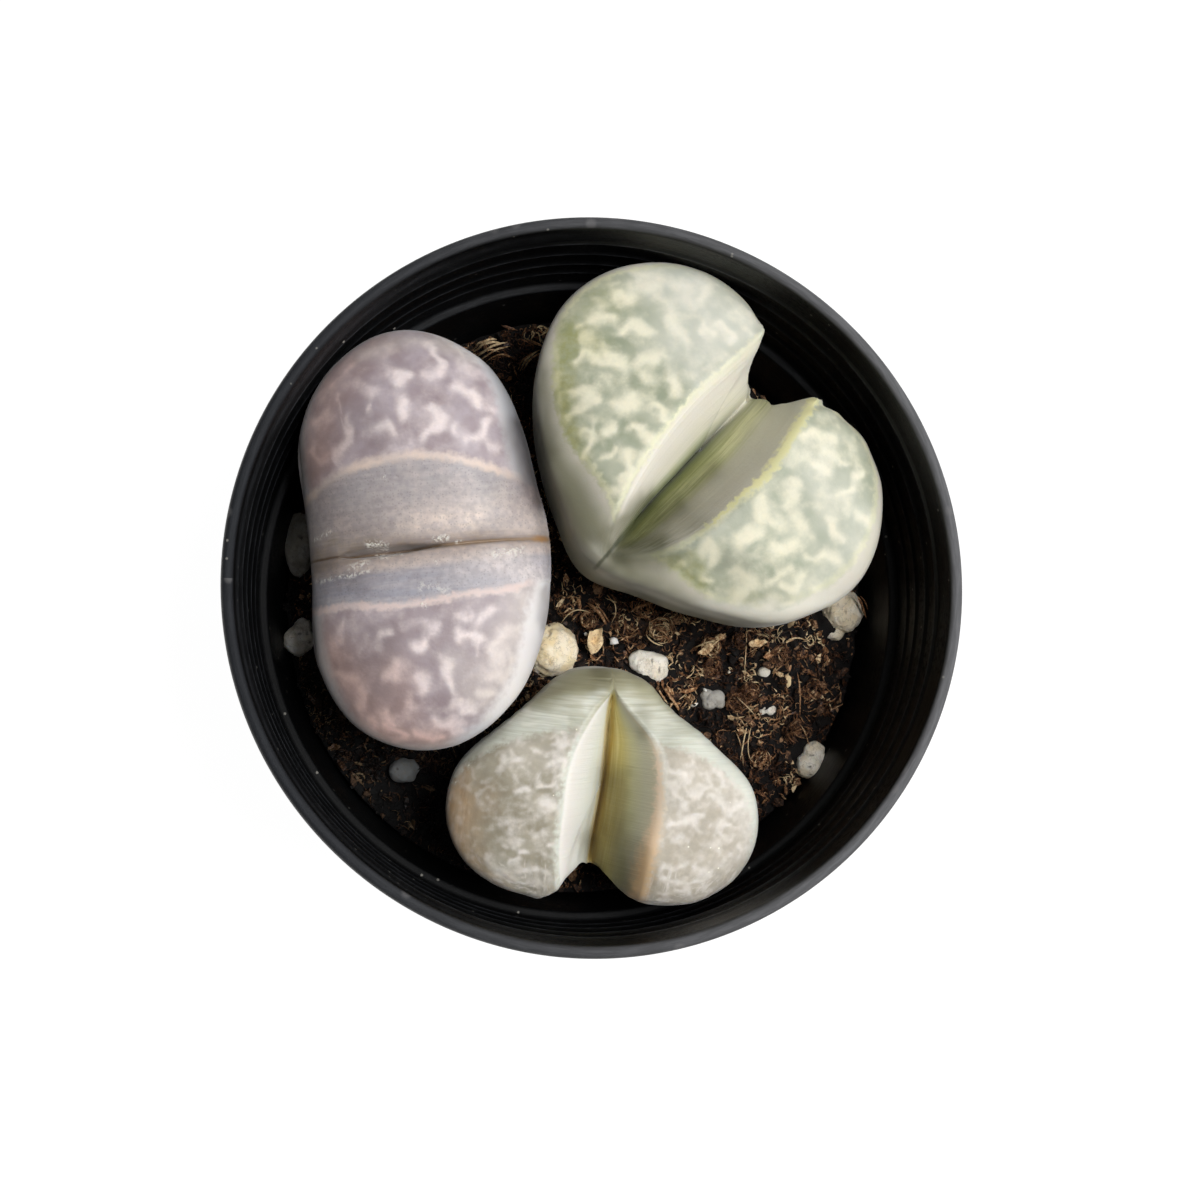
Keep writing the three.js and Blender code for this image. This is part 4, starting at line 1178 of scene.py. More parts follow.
def warped(points, cell, amount, seed):
    """Points moved by noise, so that marks on them get wandering edges."""
    moves = [lattice_noise(points, cell, seed + k) for k in range(3)]
    return points + amount * np.stack(moves, -1)


def stroke_mask(points, strokes, wander, spread):
    """Soft strokes in the photograph's frame, as one mask: each is strength * exp(-(distance / reach)^2)."""
    across, down = photo_pixel(warped(points, MARK_CELL, wander, MARK_SEED))
    clear = np.ones(points.shape[:-1])
    for start_across, start_down, end_across, end_down, reach, strength in strokes:
        long, tall = end_across - start_across, end_down - start_down
        share = ((across - start_across) * long + (down - start_down) * tall) / (long**2 + tall**2)
        share = np.clip(share, 0, 1)
        squared = (across - start_across - share * long) ** 2 + (down - start_down - share * tall) ** 2
        clear = clear * (1 - strength * np.exp(-squared / (spread * reach) ** 2))
    return 1 - clear


def leaf_marks(name, points, faint, cell):
    """The masks of a plant's markings; faint noise of that strength and cell fills in between its islands."""
    marks = {}
    for label, strokes in MARKS[name].items():
        wander, spread = OWN_STROKES.get(label, (MARK_WANDER, MARK_SPREAD))
        marks[label] = stroke_mask(points, strokes, wander, spread)
    cloud = 0.5 + 0.6 * lattice_noise(warped(points, cell, 0.5 * cell, 21), cell, 8)
    cloud = cloud + 0.3 * lattice_noise(points, 0.45 * cell, 9)
    marks["island"] = 1 - (1 - marks["island"]) * (1 - faint * np.clip(cloud, 0, 1))
    return marks


def small_wrinkles(points, values):
    """Low waves that follow the body's edge on the lower rim, and fine ones that run round the back wall."""
    wave = np.sin(TAU * (values["window"] + 0.5 * lattice_noise(points, 3.0, 41)) / 1.1)
    rim = smooth_step(values["along"], 4, 8) * smooth_step(values["window"], 4.5, 2.5)
    back = smooth_step(values["along"], -2, -6)
    creases = np.sin(TAU * (values["along"] + 0.9 * lattice_noise(points, 4.0, 43)) / 0.9)
    return 0.02 * wave * rim + 0.02 * creases * back * smooth_step(values["crest"], 0, 1)


def smoothing_weight(opened, row_count):
    """How far points move when smoothed: a bell over 5 rows at an open edge, a weaker one at a crest."""
    rows = np.arange(row_count)[:, None]
    near_open = np.convolve(np.tile(opened.astype(float), 3), np.ones(9) / 9, "same")
    near_open = near_open[BODY_COLUMNS : 2 * BODY_COLUMNS]
    at_edge = np.exp(-(((rows - INNER_ROWS - TOP_ROWS) / 5.0) ** 2)) * near_open
    at_crest = 0.35 * np.exp(-(((rows - INNER_ROWS) / 3.0) ** 2)) * (1 - near_open)
    return 0.8 * np.maximum(at_edge, at_crest)


def make_plant(name, skin, faint, cell, extra_relief=None):
    """A plant's skin: its grid, smoothed at the crests and the open end, marked and raised by relief."""
    body = Body(PLANTS[name])
    points, values, opened = body_grid(body)
    placed = body.to_pot(relax(points, smoothing_weight(opened, len(points)), SMOOTHING_ROUNDS))
    values.update(leaf_marks(name, placed, faint, cell))
    shown = values["island"] * smooth_step(values["window"], 0.0, 0.8)
    relief = sum(height * lattice_noise(placed, size, seed) for size, height, seed in SKIN_WAVES)
    relief = relief + ISLAND_RISE * shown
    if extra_relief:
        relief = relief + extra_relief(placed, values)
    relief[0] = 0
    relief[-1] = 0
    placed = placed + grid_normals(placed) * relief[..., None]
    index = grid_index(len(placed), BODY_COLUMNS)
    column = np.arange(BODY_COLUMNS)
    index[0] = np.minimum(column, (BODY_COLUMNS // 2 - column) % BODY_COLUMNS)
    return add_piece(name + "_skin", placed, faces_from(index), skin, (name,), values)


# Plants: skins

def leaf_nodes(name, subsurface):
    """A leaf's material with its waxy sheen, the place and the values that it reads."""
    material, nodes, shader = start_material(name, 0.5, 0.4, subsurface, 1.6)
    shader.inputs["Sheen Weight"].default_value = BLOOM
    shader.inputs["Sheen Roughness"].default_value = 0.35
    leaf = SimpleNamespace(**{label: nodes.value(label) for label in LEAF_VALUES})
    return material, nodes, shader, nodes.place(), leaf


def green_skin():
    """Grey-green windows with cream islands, a cream border, a lime crest and streaked green inner faces."""
    material, nodes, shader, place, leaf = leaf_nodes("green_leaf_skin", 0.22)
    paint, times, step, plus, less = nodes.paint, nodes.times, nodes.step, nodes.plus, nodes.less
    coarse, fine = nodes.mottle(place, 3.2)
    wobble = nodes.wobble(place, 0.6)
    edge = plus(leaf.window, times(wobble, 1.1))
    open_end = step(leaf.along, -11, 6)
    right = step(leaf.across, 0, 0.6)

    # Painted shade: the wall at the closed end, outside the window, is painted a darker olive.
    closed = times(step(leaf.along, -4, -13), step(leaf.window, 0, -2))
    wall = paint(
        colour(216, 210, 198),
        (156, 152, 124, step(leaf.depth, 0.3, 7)),
        (182, 182, 150, coarse, 0.3),
        (132, 132, 104, closed, 0.75),
        (234, 230, 216, leaf.pale, step(leaf.depth, 4, 1)),
    )
    ground = paint(
        colour(154, 161, 137),
        (184, 187, 166, coarse),
        (218, 219, 207, leaf.pale, 0.9),
        (152, 153, 92, leaf.tint, step(fine, 0, 1, 0.6)),
    )
    island = step(plus(leaf.island, times(plus(wobble, nodes.wobble(place, 0.35)), 0.25)), 0.1, 1.15)
    cream = paint(colour(242, 237, 212), (218, 213, 164, leaf.tint, 0.8), (242, 238, 226, leaf.pale, 0.8))
    plain = less(nodes.both(times(leaf.pale, 0.9), times(leaf.tint, 0.85)))
    window = nodes.mix(ground, cream, island)
    window = paint(window, (230, 227, 192, nodes.line(edge, 0.2, 0.65), plain, 0.75))
    top = nodes.mix(wall, window, step(edge, -0.35, 0.3))

    lines_place = nodes.vector(leaf.along, times(leaf.inner, 6), leaf.across)
    lines = nodes.streaks(lines_place, 10, 0.3)
    glints = nodes.streaks(lines_place, 4, 0.16)
    # The far face is painted lighter than the near one: partly their own tones, partly painted light and
    # shade. Both are darkest and greenest at the cleft's bottom, partly their own green and partly painted
    # shade in the crease, and lighter towards the open end, painted light.
    far_face = nodes.ramp(leaf.inner, [
        (0, 76, 82, 46), (0.05, 134, 140, 96), (0.16, 196, 197, 168),
        (0.28, 228, 223, 207), (1, 240, 234, 222),
    ])
    near_face = nodes.ramp(leaf.inner, [
        (0, 48, 56, 26), (0.07, 118, 124, 70), (0.2, 160, 162, 104),
        (0.34, 158, 158, 112), (0.5, 166, 162, 142), (1, 176, 171, 156),
    ])
    near_face = paint(near_face, (212, 210, 184, step(leaf.along, -4, 8, 0, 0.55)))
    far_face = paint(far_face, (250, 244, 228, step(leaf.along, -2, 10, 0, 0.8)))
    streaked = times(lines, step(leaf.inner, 0.55, 0.25), step(right, 0, 1, 0.3))
    face = paint(
        nodes.mix(far_face, near_face, right),
        (134, 140, 84, streaked, 0.7),
        (214, 214, 166, glints, nodes.line(leaf.inner, 0.28, 0.2), right, 0.6),
    )
    face = nodes.mix(wall, face, step(leaf.along, -16, -11.5))
    face = paint(face, (222, 222, 200, leaf.pale, step(leaf.along, 9, 12)))

    ragged = nodes.size(plus(leaf.crest, times(wobble, 1.5)))
    reach = step(open_end, 0, 1, 0.25, 0.75)
    ridge = step(nodes.over(ragged, reach), 1, 0.2)
    ridge = times(ridge, step(leaf.depth, 0.6, 0), step(open_end, 0, 0.2))
    crest_tint = paint(colour(236, 232, 204), (220, 216, 162, right))
    base = nodes.mix(top, face, step(leaf.crest, 0.1, -0.3))
    base = nodes.mix(base, crest_tint, times(ridge, step(right, 0, 1, 0.5, 0.9)))
    ending = times(step(leaf.along, -12, -14), step(leaf.depth, 2.2, 0.8))
    away = nodes.size(plus(leaf.across, times(wobble, 0.2)))
    base = paint(base, (74, 80, 50, ending, step(away, 0.3, 0.05), 0.7))
    base = nodes.dim(base, colour(118, 120, 96), leaf.shade)

    low_lines = times(lines, step(leaf.crest, 0, -0.4), 0.5)
    height = plus(times(nodes.noise(place, 0.25), 0.4), low_lines)
    finish_material(nodes, shader, base, step(island, 0, 1, 0.42, 0.56), height, 0.04)
    return material


def mauve_skin():
    """Grey-mauve windows with soft pale spots, pale orange arcs, stippled grey bands and a brown fissure."""
    material, nodes, shader, place, leaf = leaf_nodes("mauve_leaf_skin", 0.2)
    paint, times, step, plus, less = nodes.paint, nodes.times, nodes.step, nodes.plus, nodes.less
    coarse, fine = nodes.mottle(place, 3)
    wobble = nodes.wobble(place, 0.6)
    pores = nodes.speckle(place, 0.26, 0.55, 0.42)
    lines = nodes.streaks(nodes.vector(leaf.along, leaf.across, leaf.depth), 6, 0.5)
    lower = step(leaf.across, 0, 0.6)
    upper = less(lower)

    shaded = times(step(leaf.across, -1, -3), step(leaf.along, 0, 5))
    wall = paint(
        colour(206, 204, 206),
        (150, 148, 148, step(leaf.depth, 1, 9)),
        (186, 164, 150, leaf.tint, 0.6),
        (238, 233, 230, leaf.pale, step(leaf.depth, 8, 2)),
        (124, 126, 131, shaded, step(leaf.window, 0.4, -2.6), 0.9),
    )
    ground = paint(
        colour(158, 142, 146),
        (184, 172, 178, coarse),
        (150, 136, 138, lower, 0.45),
        (168, 140, 130, leaf.tint, 0.85),
        (206, 197, 192, leaf.pale, 0.8),
    )
    island = step(plus(leaf.island, times(plus(wobble, nodes.wobble(place, 0.35)), 0.3)), 0.1, 1.3)
    spot = paint(colour(250, 237, 234), (236, 196, 184, leaf.tint, 0.9), (240, 231, 220, leaf.pale, 0.9))
    window = paint(nodes.mix(ground, spot, island), (150, 134, 134, fine, less(island), 0.22))
    top = nodes.mix(wall, window, step(plus(leaf.window, wobble), -0.8, 0.6))

    upper_band = nodes.ramp(leaf.inner, [
        (0, 66, 54, 40), (0.03, 112, 96, 78), (0.06, 158, 142, 128), (0.14, 178, 165, 156),
        (0.34, 182, 172, 168), (0.6, 172, 165, 164), (1, 170, 165, 168),
    ])
    lower_band = nodes.ramp(leaf.inner, [
        (0, 48, 40, 28), (0.03, 104, 88, 70), (0.08, 184, 167, 156), (0.3, 204, 190, 182),
        (0.42, 168, 165, 172), (0.8, 164, 163, 172), (1, 174, 168, 172),
    ])
    band = paint(
        nodes.mix(upper_band, lower_band, lower),
        (236, 219, 205, leaf.pale, upper, 0.95),
        (232, 222, 218, leaf.pale, lower, 0.9),
        (134, 121, 98, leaf.tint, 0.9),
        (206, 190, 184, coarse, upper, 0.4),
        (216, 204, 200, lines, 0.28),
        (112, 103, 104, pores, step(leaf.inner, 0.04, 0.2), 0.28),
        (140, 134, 140, fine, 0.4),
    )
    base = nodes.mix(top, band, step(leaf.crest, 0.3, -0.6))

    from_arc = nodes.size(plus(plus(leaf.crest, wobble), 0.1))
    half_width = step(lower, 0, 1, 0.8, 0.62)
    arc = times(step(nodes.over(from_arc, half_width), 1, 0), step(leaf.depth, 0.5, 0))
    before_end = less(step(leaf.along, 8.5, 10.5))
    strength = times(step(nodes.noise(place, 4), 0.25, 0.6, 0.35, 0.8), before_end)
    arc_colour = paint(colour(234, 212, 196), (228, 206, 198, lower))
    base = nodes.mix(base, arc_colour, times(arc, strength))
    away = nodes.size(plus(leaf.across, times(wobble, 0.16)))
    fissure = times(step(away, 0.2, 0.04), step(leaf.depth, 5, 1))
    crack = paint(colour(104, 80, 52), (150, 124, 94, step(leaf.along, 0, 4)))
    base = nodes.mix(base, crack, times(fissure, 0.75))
    rust = times(nodes.line(leaf.along, 11.2, 1.4), step(away, 0.5, 0.1))
    base = paint(base, (172, 128, 78, rust, 0.7))
    base = nodes.dim(base, colour(150, 144, 142), leaf.shade)
    crumbly = step(nodes.noise(place, 0.3, 2), 0.42, 0.6)
    base = paint(base, (242, 238, 228, leaf.frost, crumbly, 0.9))
    height = plus(times(nodes.noise(place, 0.3), 0.5), times(leaf.frost, crumbly))
    finish_material(nodes, shader, base, step(island, 0, 1, 0.44, 0.52), height, 0.05)
    return material


def small_skin():
    """Pale grey-green walls, beige windows with white islands, golden streaks, one orange crest."""
    material, nodes, shader, place, leaf = leaf_nodes("small_leaf_skin", 0.22)
    paint, times, step, plus, less = nodes.paint, nodes.times, nodes.step, nodes.plus, nodes.less
    coarse, fine = nodes.mottle(place, 3)
    wobble = nodes.wobble(place, 0.5)
    creases = nodes.streaks(nodes.vector(leaf.across, leaf.along, leaf.depth), 6, 0.3)
    left = step(leaf.across, 0, 0.6)

    wall = paint(
        colour(218, 221, 209),
        (178, 174, 142, step(leaf.depth, 0.5, 6)),
        # Olive towards the closed end: partly its own tone, partly painted shade on the back wall.
        (166, 160, 124, step(leaf.along, -5.5, -9), less(times(leaf.pale, 0.8)), 0.8),
        (160, 156, 124, creases, step(leaf.along, -2, -6), 0.4),
        (238, 238, 226, leaf.pale, step(creases, 0, 1, 0.8, 0.3)),
    )
    brown_lines = nodes.streaks(nodes.vector(leaf.along, leaf.across, leaf.window), 5, 0.7)
    brown = paint(colour(202, 172, 138), (172, 142, 108, brown_lines))
    ground = paint(colour(160, 152, 132), (188, 181, 163, coarse))
    ground = nodes.mix(ground, brown, times(leaf.tint, 0.95))
    ground = paint(ground, (206, 197, 182, less(left), 0.7), (226, 220, 210, leaf.pale, 0.7))
    waves = nodes.streaks(nodes.vector(leaf.along, leaf.window, leaf.across), 4, 0.55)
    waves = times(waves, step(leaf.along, 5, 8), step(leaf.window, 5, 3))
    field = plus(nodes.both(leaf.island, times(waves, 0.8)), times(wobble, 0.5))
    island = times(step(field, 0.15, 1.15), less(times(leaf.tint, 0.6)))
    window = paint(
        ground,
        (242, 236, 228, island, 0.95),
        (156, 150, 136, fine, less(island), 0.25),
        # Tiny bright dots: painted glints.
        (255, 252, 238, nodes.speckle(place, 1, 0.2, 0.13)),
    )
    edge = plus(leaf.window, times(wobble, 1.8))
    top = nodes.mix(wall, window, step(edge, -0.2, 0.9))

    lines = nodes.streaks(nodes.vector(leaf.along, times(leaf.inner, 5), leaf.across), 8, 0.28)
    # The left face is painted whiter than the golden right face: partly their own tones, partly painted light
    # and shade. Both are darker at the cleft's bottom, painted shade in the crease.
    left_face = nodes.ramp(leaf.inner, [
        (0, 190, 178, 140), (0.025, 214, 216, 204), (0.3, 226, 228, 218),
        (0.8, 242, 238, 230), (1, 246, 242, 234),
    ])
    right_face = nodes.ramp(leaf.inner, [
        (0, 160, 132, 76), (0.06, 186, 158, 76), (0.26, 200, 184, 108),
        (0.5, 196, 192, 148), (0.7, 188, 185, 158), (1, 188, 180, 156),
    ])
    golden = times(lines, step(leaf.inner, 0.5, 0.2), less(times(left, 0.7)))
    face = paint(nodes.mix(right_face, left_face, left), (226, 214, 150, golden, 0.65))
    base = nodes.mix(top, face, step(leaf.crest, 0.1, -0.25))

    reach = step(leaf.along, -3, 8, 0.6, 1.5)
    ragged = nodes.size(plus(leaf.crest, times(wobble, 1.2)))
    on_top = times(step(leaf.depth, 1.2, 0), step(leaf.along, -6.5, -2.5))
    ridge = times(step(nodes.over(ragged, reach), 1, 0.1), less(left), on_top)
    orange = paint(colour(222, 200, 174), (232, 196, 152, step(leaf.along, 0, 8)))
    base = nodes.mix(base, orange, times(ridge, 0.9))
    fissure = times(step(nodes.size(leaf.across), 0.12, 0.02), step(leaf.crest, -0.2, -0.8))
    base = paint(base, (122, 98, 58, fissure, 0.25))
    base = nodes.dim(base, colour(140, 136, 118), leaf.shade)
    on_wall = step(leaf.window, 0.3, -0.5)
    height = plus(times(nodes.noise(place, 0.28), 0.4), times(creases, on_wall, 0.5))
    finish_material(nodes, shader, base, step(island, 0, 1, 0.4, 0.54), height, 0.04)
    return material


# Pot

ledge_level = POT_HEIGHT - COLLAR_HEIGHT
lip_inner = RIM_RADIUS - LIP_WIDTH
collar_inner = COLLAR_FOOT_RADIUS - LIP_WIDTH
wall_top_inner = collar_inner - LEDGE_WIDTH
floor_level = FOOT_HEIGHT + FLOOR_THICKNESS


def collar_radius(z):
    """Inside radius of the collar at a height above the ledge."""
    return collar_inner + (lip_inner - collar_inner) * (z - ledge_level) / COLLAR_HEIGHT


def wall_radius(z):
    """Inside radius of the tapered wall at a height below the ledge."""
    base_inner = BASE_RADIUS - WALL
    return base_inner + (wall_top_inner - base_inner) * (z - floor_level) / (ledge_level - floor_level)


def rounded_profile(corners):
    """Points of a profile whose corners (radius, height, rounding) are replaced by short quadratic curves."""
    corners = np.array(corners, float)
    places, rounding = corners[:, :2], corners[:, 2]
    points = [places[:1]]
    t = np.linspace(0, 1, CORNER_STEPS + 1)[:, None]
    for before, corner, after, size in zip(places[:-2], places[1:-1], places[2:], rounding[1:-1]):
        into, out = before - corner, after - corner
        start = corner + into * min(0.45, size / np.linalg.norm(into))
        end = corner + out * min(0.45, size / np.linalg.norm(out))
        points.append((1 - t) ** 2 * start + 2 * t * (1 - t) * corner + t**2 * end)
    points.append(places[-1:])
    return np.vstack(points)


def pot_profile():
    """Corners from the bottom's middle, round the foot and the outside, over the lip and down the inside."""
    foot_outer = BASE_RADIUS - FOOT_INSET
    foot_inner = foot_outer - FOOT_WIDTH
    wall_top_outer = wall_top_inner + WALL
    below_ledge = ledge_level - LEDGE_THICKNESS
    share = (SLOT_TOP_LEVEL - FOOT_BEVEL) / (below_ledge - FOOT_BEVEL)
    above_slots = BASE_RADIUS + (wall_top_outer - BASE_RADIUS) * share
    rings = []
    for z in RING_LEVELS:
        rings += [
            (collar_radius(z + RING_HALF_HEIGHT), z + RING_HALF_HEIGHT, 0.25),
            (collar_radius(z) - RING_RISE, z, 0.25),
            (collar_radius(z - RING_HALF_HEIGHT), z - RING_HALF_HEIGHT, 0.25),
        ]
    return rounded_profile([
        (0, FOOT_HEIGHT, 0),
        (foot_inner, FOOT_HEIGHT, 0.3),
        (foot_inner, 0, 0.3),
        (foot_outer, 0, 0.3),
        (BASE_RADIUS, FOOT_BEVEL, 0.3),
        (above_slots, SLOT_TOP_LEVEL, 0.3),
        (wall_top_outer, below_ledge, 0.4),
        (COLLAR_FOOT_RADIUS - 0.3, below_ledge, 0.25),
        (COLLAR_FOOT_RADIUS, ledge_level, 0.3),
        (RIM_RADIUS, POT_HEIGHT - 0.7, 0.4),
        (RIM_RADIUS - 0.35, POT_HEIGHT, 0.3),
        (lip_inner + 0.3, POT_HEIGHT, 0.25),
        (lip_inner, POT_HEIGHT - 0.5, 0.3),
        *rings,
        (collar_inner, ledge_level + 0.3, 0.25),
        (collar_inner - 0.3, ledge_level, 0.15),
        (wall_top_inner, ledge_level, 0.35),
        (wall_radius(floor_level), floor_level, 0.8),
        (0, floor_level, 0),
    ])


def drain_plan(turn):
    """Corners of a round drain hole in the floor, at that turn round the pot's axis."""
    x, y = DRAIN_CIRCLE_RADIUS * np.cos(turn), DRAIN_CIRCLE_RADIUS * np.sin(turn)
    corner = even_turns(DRAIN_SIDES)
    return np.stack([x + DRAIN_RADIUS * np.cos(corner), y + DRAIN_RADIUS * np.sin(corner)], -1)


def slot_plan(turn):
    """Corners of a slot across the foot ring, at that turn round the pot's axis."""
    middle = BASE_RADIUS - FOOT_INSET - 0.5 * FOOT_WIDTH
    inward, outward, half = middle - FOOT_WIDTH, middle + FOOT_WIDTH, 0.5 * FOOT_SLOT_WIDTH
    box = [(inward, -half), (outward, -half), (outward, half), (inward, half)]
    return [(x * np.cos(turn) - y * np.sin(turn), x * np.sin(turn) + y * np.cos(turn)) for x, y in box]


def cutter(name, plan, low, high):
    """A closed prism over the corners of a plan, as a plain object for cutting."""
    count = len(plan)
    points = [(*corner, level) for level in (low, high) for corner in plan]
    sides = [(i, (i + 1) % count, count + (i + 1) % count, count + i) for i in range(count)]
    caps = [tuple(range(count - 1, -1, -1)), tuple(range(count, 2 * count))]
    mesh = bpy.data.meshes.new(name)
    mesh.from_pydata((np.array(points) * METRE).tolist(), [], sides + caps)
    return add_object(name, mesh)


def make_pot(material):
    """The pot turned from its profile, with the drain holes and foot slots cut through."""
    profile = pot_profile()
    turn = even_turns(POT_COLUMNS)
    points = np.stack([
        profile[:, :1] * np.cos(turn),
        profile[:, :1] * np.sin(turn),
        np.repeat(profile[:, 1:], POT_COLUMNS, 1),
    ], -1)
    index = grid_index(len(profile), POT_COLUMNS)
    pot = add_piece("pot_shell", points, faces_from(index, flip=True), material, ("pot",))
    cutters = []
    for i in range(DRAIN_COUNT):
        plan = drain_plan(TAU * i / DRAIN_COUNT)
        cutters.append(cutter(f"drain_cutter_{i}", plan, 0, 2 * floor_level))
    for i in range(FOOT_SLOT_COUNT):
        plan = slot_plan(TAU * i / FOOT_SLOT_COUNT)
        cutters.append(cutter(f"slot_cutter_{i}", plan, -FOOT_SLOT_HEIGHT, FOOT_SLOT_HEIGHT))
    for tool in cutters:
        cut = pot.modifiers.new(tool.name, "BOOLEAN")
        cut.operation = "DIFFERENCE"
        cut.solver = "EXACT"
        cut.object = tool
    whole = pot.evaluated_get(bpy.context.evaluated_depsgraph_get())
    mesh = bpy.data.meshes.new_from_object(whole)
    pot.modifiers.clear()
    pot.data = mesh
    for tool in cutters:
        bpy.data.objects.remove(tool)
    return pot


def pot_plastic():
    """Black plastic, finely grained and dusty, worn grey at the lip; painted light at lip, ledge, rings."""
    material, nodes, shader = start_material("black_pot_plastic", 0.5, 0.2)
    paint, times, step = nodes.paint, nodes.times, nodes.step
    place = nodes.place()
    x, y, z = nodes.add("ShaderNodeSeparateXYZ", {0: place}).outputs
    radius = nodes.math("POWER", nodes.plus(times(x, x), times(y, y)), 0.5)
    round_place = nodes.vector(times(nodes.math("ARCTAN2", y, x), RIM_RADIUS), radius, z)
    scuffs = nodes.streaks(round_place, 3, 0.3)
    nicks = nodes.speckle(round_place, 2.4, 0.3, 0.3)
    dust = nodes.effect("dust", Place=place, Amount=1)

    on_lip = step(radius, lip_inner - 0.3, lip_inner + 0.1)
    lip = times(step(z, POT_HEIGHT - 0.5, POT_HEIGHT - 0.1), on_lip)
    # The lip's grey is partly wear and partly painted light, lighter towards +x where the light falls.
    lip_wear_and_light = paint(colour(38, 40, 44), (104, 104, 106, step(x, -34, 34)))
    inside = step(radius, wall_top_inner - 1, wall_top_inner)
    ledge = times(nodes.line(z, ledge_level, 0.3), inside)
    # rings: painted highlights on the ledge towards +y and on the ring crests, and a painted reflection in a
    # band under the lip towards -x.
    under_lip_reflection = times(nodes.line(z, POT_HEIGHT - 2.2, 1.7), step(x, 16, -20), inside)
    rings = nodes.both(times(ledge, step(y, 0, 20, 0, 0.3)), times(under_lip_reflection, 0.55))
    for level in RING_LEVELS:
        crest = step(radius, collar_radius(level) - 0.1, collar_radius(level) - 0.22)
        rings = nodes.both(rings, times(nodes.line(z, level, 0.25), crest, inside))
    base = paint(
        colour(5, 5, 6),
        (9, 10, 11, nodes.noise(place, 8)),
        (72, 74, 78, rings, step(scuffs, 0, 1, 0.3, 0.7)),
    )
    base = paint(
        nodes.mix(base, lip_wear_and_light, times(lip, step(scuffs, 0, 1, 0.75))),
        (120, 118, 118, nicks, lip, 0.4),
        (70, 72, 76, dust["Film"], 0.06),
        (190, 186, 176, dust["Specks"], 0.4),
    )
    rough = step(nodes.both(nodes.both(lip, ledge), dust["Film"]), 0, 1, 0.42, 0.7)
    height = nodes.plus(nodes.noise(place, 0.22, 4, 0.6), times(scuffs, 0.4))
    finish_material(nodes, shader, base, rough, height, 0.03)
    return material


# Soil

def soil_height(x, y):
    """A low crown, lumps, and a drop to the pot's wall."""
    share = np.hypot(x, y) / wall_radius(SOIL_LEVEL)
    lumps = 0.5 * np.sin(0.42 * x + 1.3) * np.cos(0.37 * y - 0.4) + 0.3 * np.sin(0.9 * x - 0.7 * y + 2)
    fine = 0.2 * np.sin(1.7 * y + 0.8 * x) * np.cos(1.3 * x)
    return SOIL_LEVEL + SOIL_CROWN * (1 - share**2) + lumps + fine - SOIL_EDGE_DROP * share**10


def soil_clods(x, y):
    """Clods of matted peat: from -1 in the gaps between them to 1 on top."""
    return layered_noise(np.stack([x, y], -1), CLOD_SIZE, 2, 60)


def soil_surface(x, y):
    """The soil's height with its clods and small lumps."""
    lumps = layered_noise(np.stack([x, y], -1), LUMP_SIZE, 3, 70)
    return soil_height(x, y) + CLOD_HEIGHT * soil_clods(x, y) + LUMP_HEIGHT * lumps


def add_soil(name, points, faces, material, tone, stands_for=(), smooth=True):
    """A piece of the soil, with a tone at each point."""
    return add_piece(name, points, faces, material, stands_for, {"tone": tone}, smooth)


def make_soil(material):
    """The soil as one closed body: its rough top, its side along the wall and its bottom."""
    bottom = floor_level + SOIL_GAP
    edge = wall_radius(SOIL_LEVEL - SOIL_EDGE_DROP) - SOIL_GAP
    turn = even_turns(SOIL_COLUMNS)
    radii = edge * np.linspace(0, 1, SOIL_ROWS)[:, None]
    x, y = radii * np.cos(turn), radii * np.sin(turn)
    top = np.stack([x, y, soil_surface(x, y)], -1)
    foot = wall_radius(bottom) - SOIL_GAP
    side = np.stack([foot * np.cos(turn), foot * np.sin(turn), np.full(SOIL_COLUMNS, bottom)], -1)
    centre = np.broadcast_to([0.0, 0.0, bottom], side.shape)
    points = np.concatenate([top, side[None], centre[None]])
    index = grid_index(len(points), SOIL_COLUMNS)
    tone = 0.4 + 0.4 * layered_noise(points, 3.0, 3, 80)
    return add_soil("soil_bed", points, faces_from(index), material, tone, ("soil",))


bodies = [Body(plant) for plant in PLANTS.values()]
GRAIN_NAMES = sorted(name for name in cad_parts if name.startswith("perlite_grain"))


def free_places(points, margin):
    """True where points on the soil lie clear of plants, grains and the pot's wall."""
    radius = np.hypot(points[..., 0], points[..., 1])
    free = radius < wall_radius(SOIL_LEVEL) - WALL_CLEARANCE - margin
    for body in bodies:
        free &= ~body.holds(points, margin)
    for name in GRAIN_NAMES:
        low, high = node_box(name)
        middle, half = 0.5 * (low + high), 0.5 * (high - low)
        share = np.hypot(*((points[..., k] - middle[k]) / half[k] for k in (0, 1)))
        free &= share > 0.95
    return free


def random_places(rng, count):
    """Random free places on the soil, evenly over its plan, as x and y."""
    radius = wall_radius(SOIL_LEVEL) * np.sqrt(rng.random(6 * count))
    turn = TAU * rng.random(6 * count)
    x, y = radius * np.cos(turn), radius * np.sin(turn)
    free = free_places(np.stack([x, y, soil_height(x, y)], -1), BIT_CLEARANCE)
    return x[free][:count], y[free][:count]


def soil_tones(rng, x, y, power):
    """Random tones, mostly dark, and darker still in the gaps between clods: painted shade."""
    return rng.random(len(x)) ** power * (0.25 + 0.85 * smooth_step(soil_clods(x, y), -0.45, 0.35))


def random_sizes(rng, shape, sizes):
    """Random sizes: the smallest, plus what the largest adds times random^power."""
    smallest, added, power = sizes
    return smallest + added * rng.random(shape) ** power


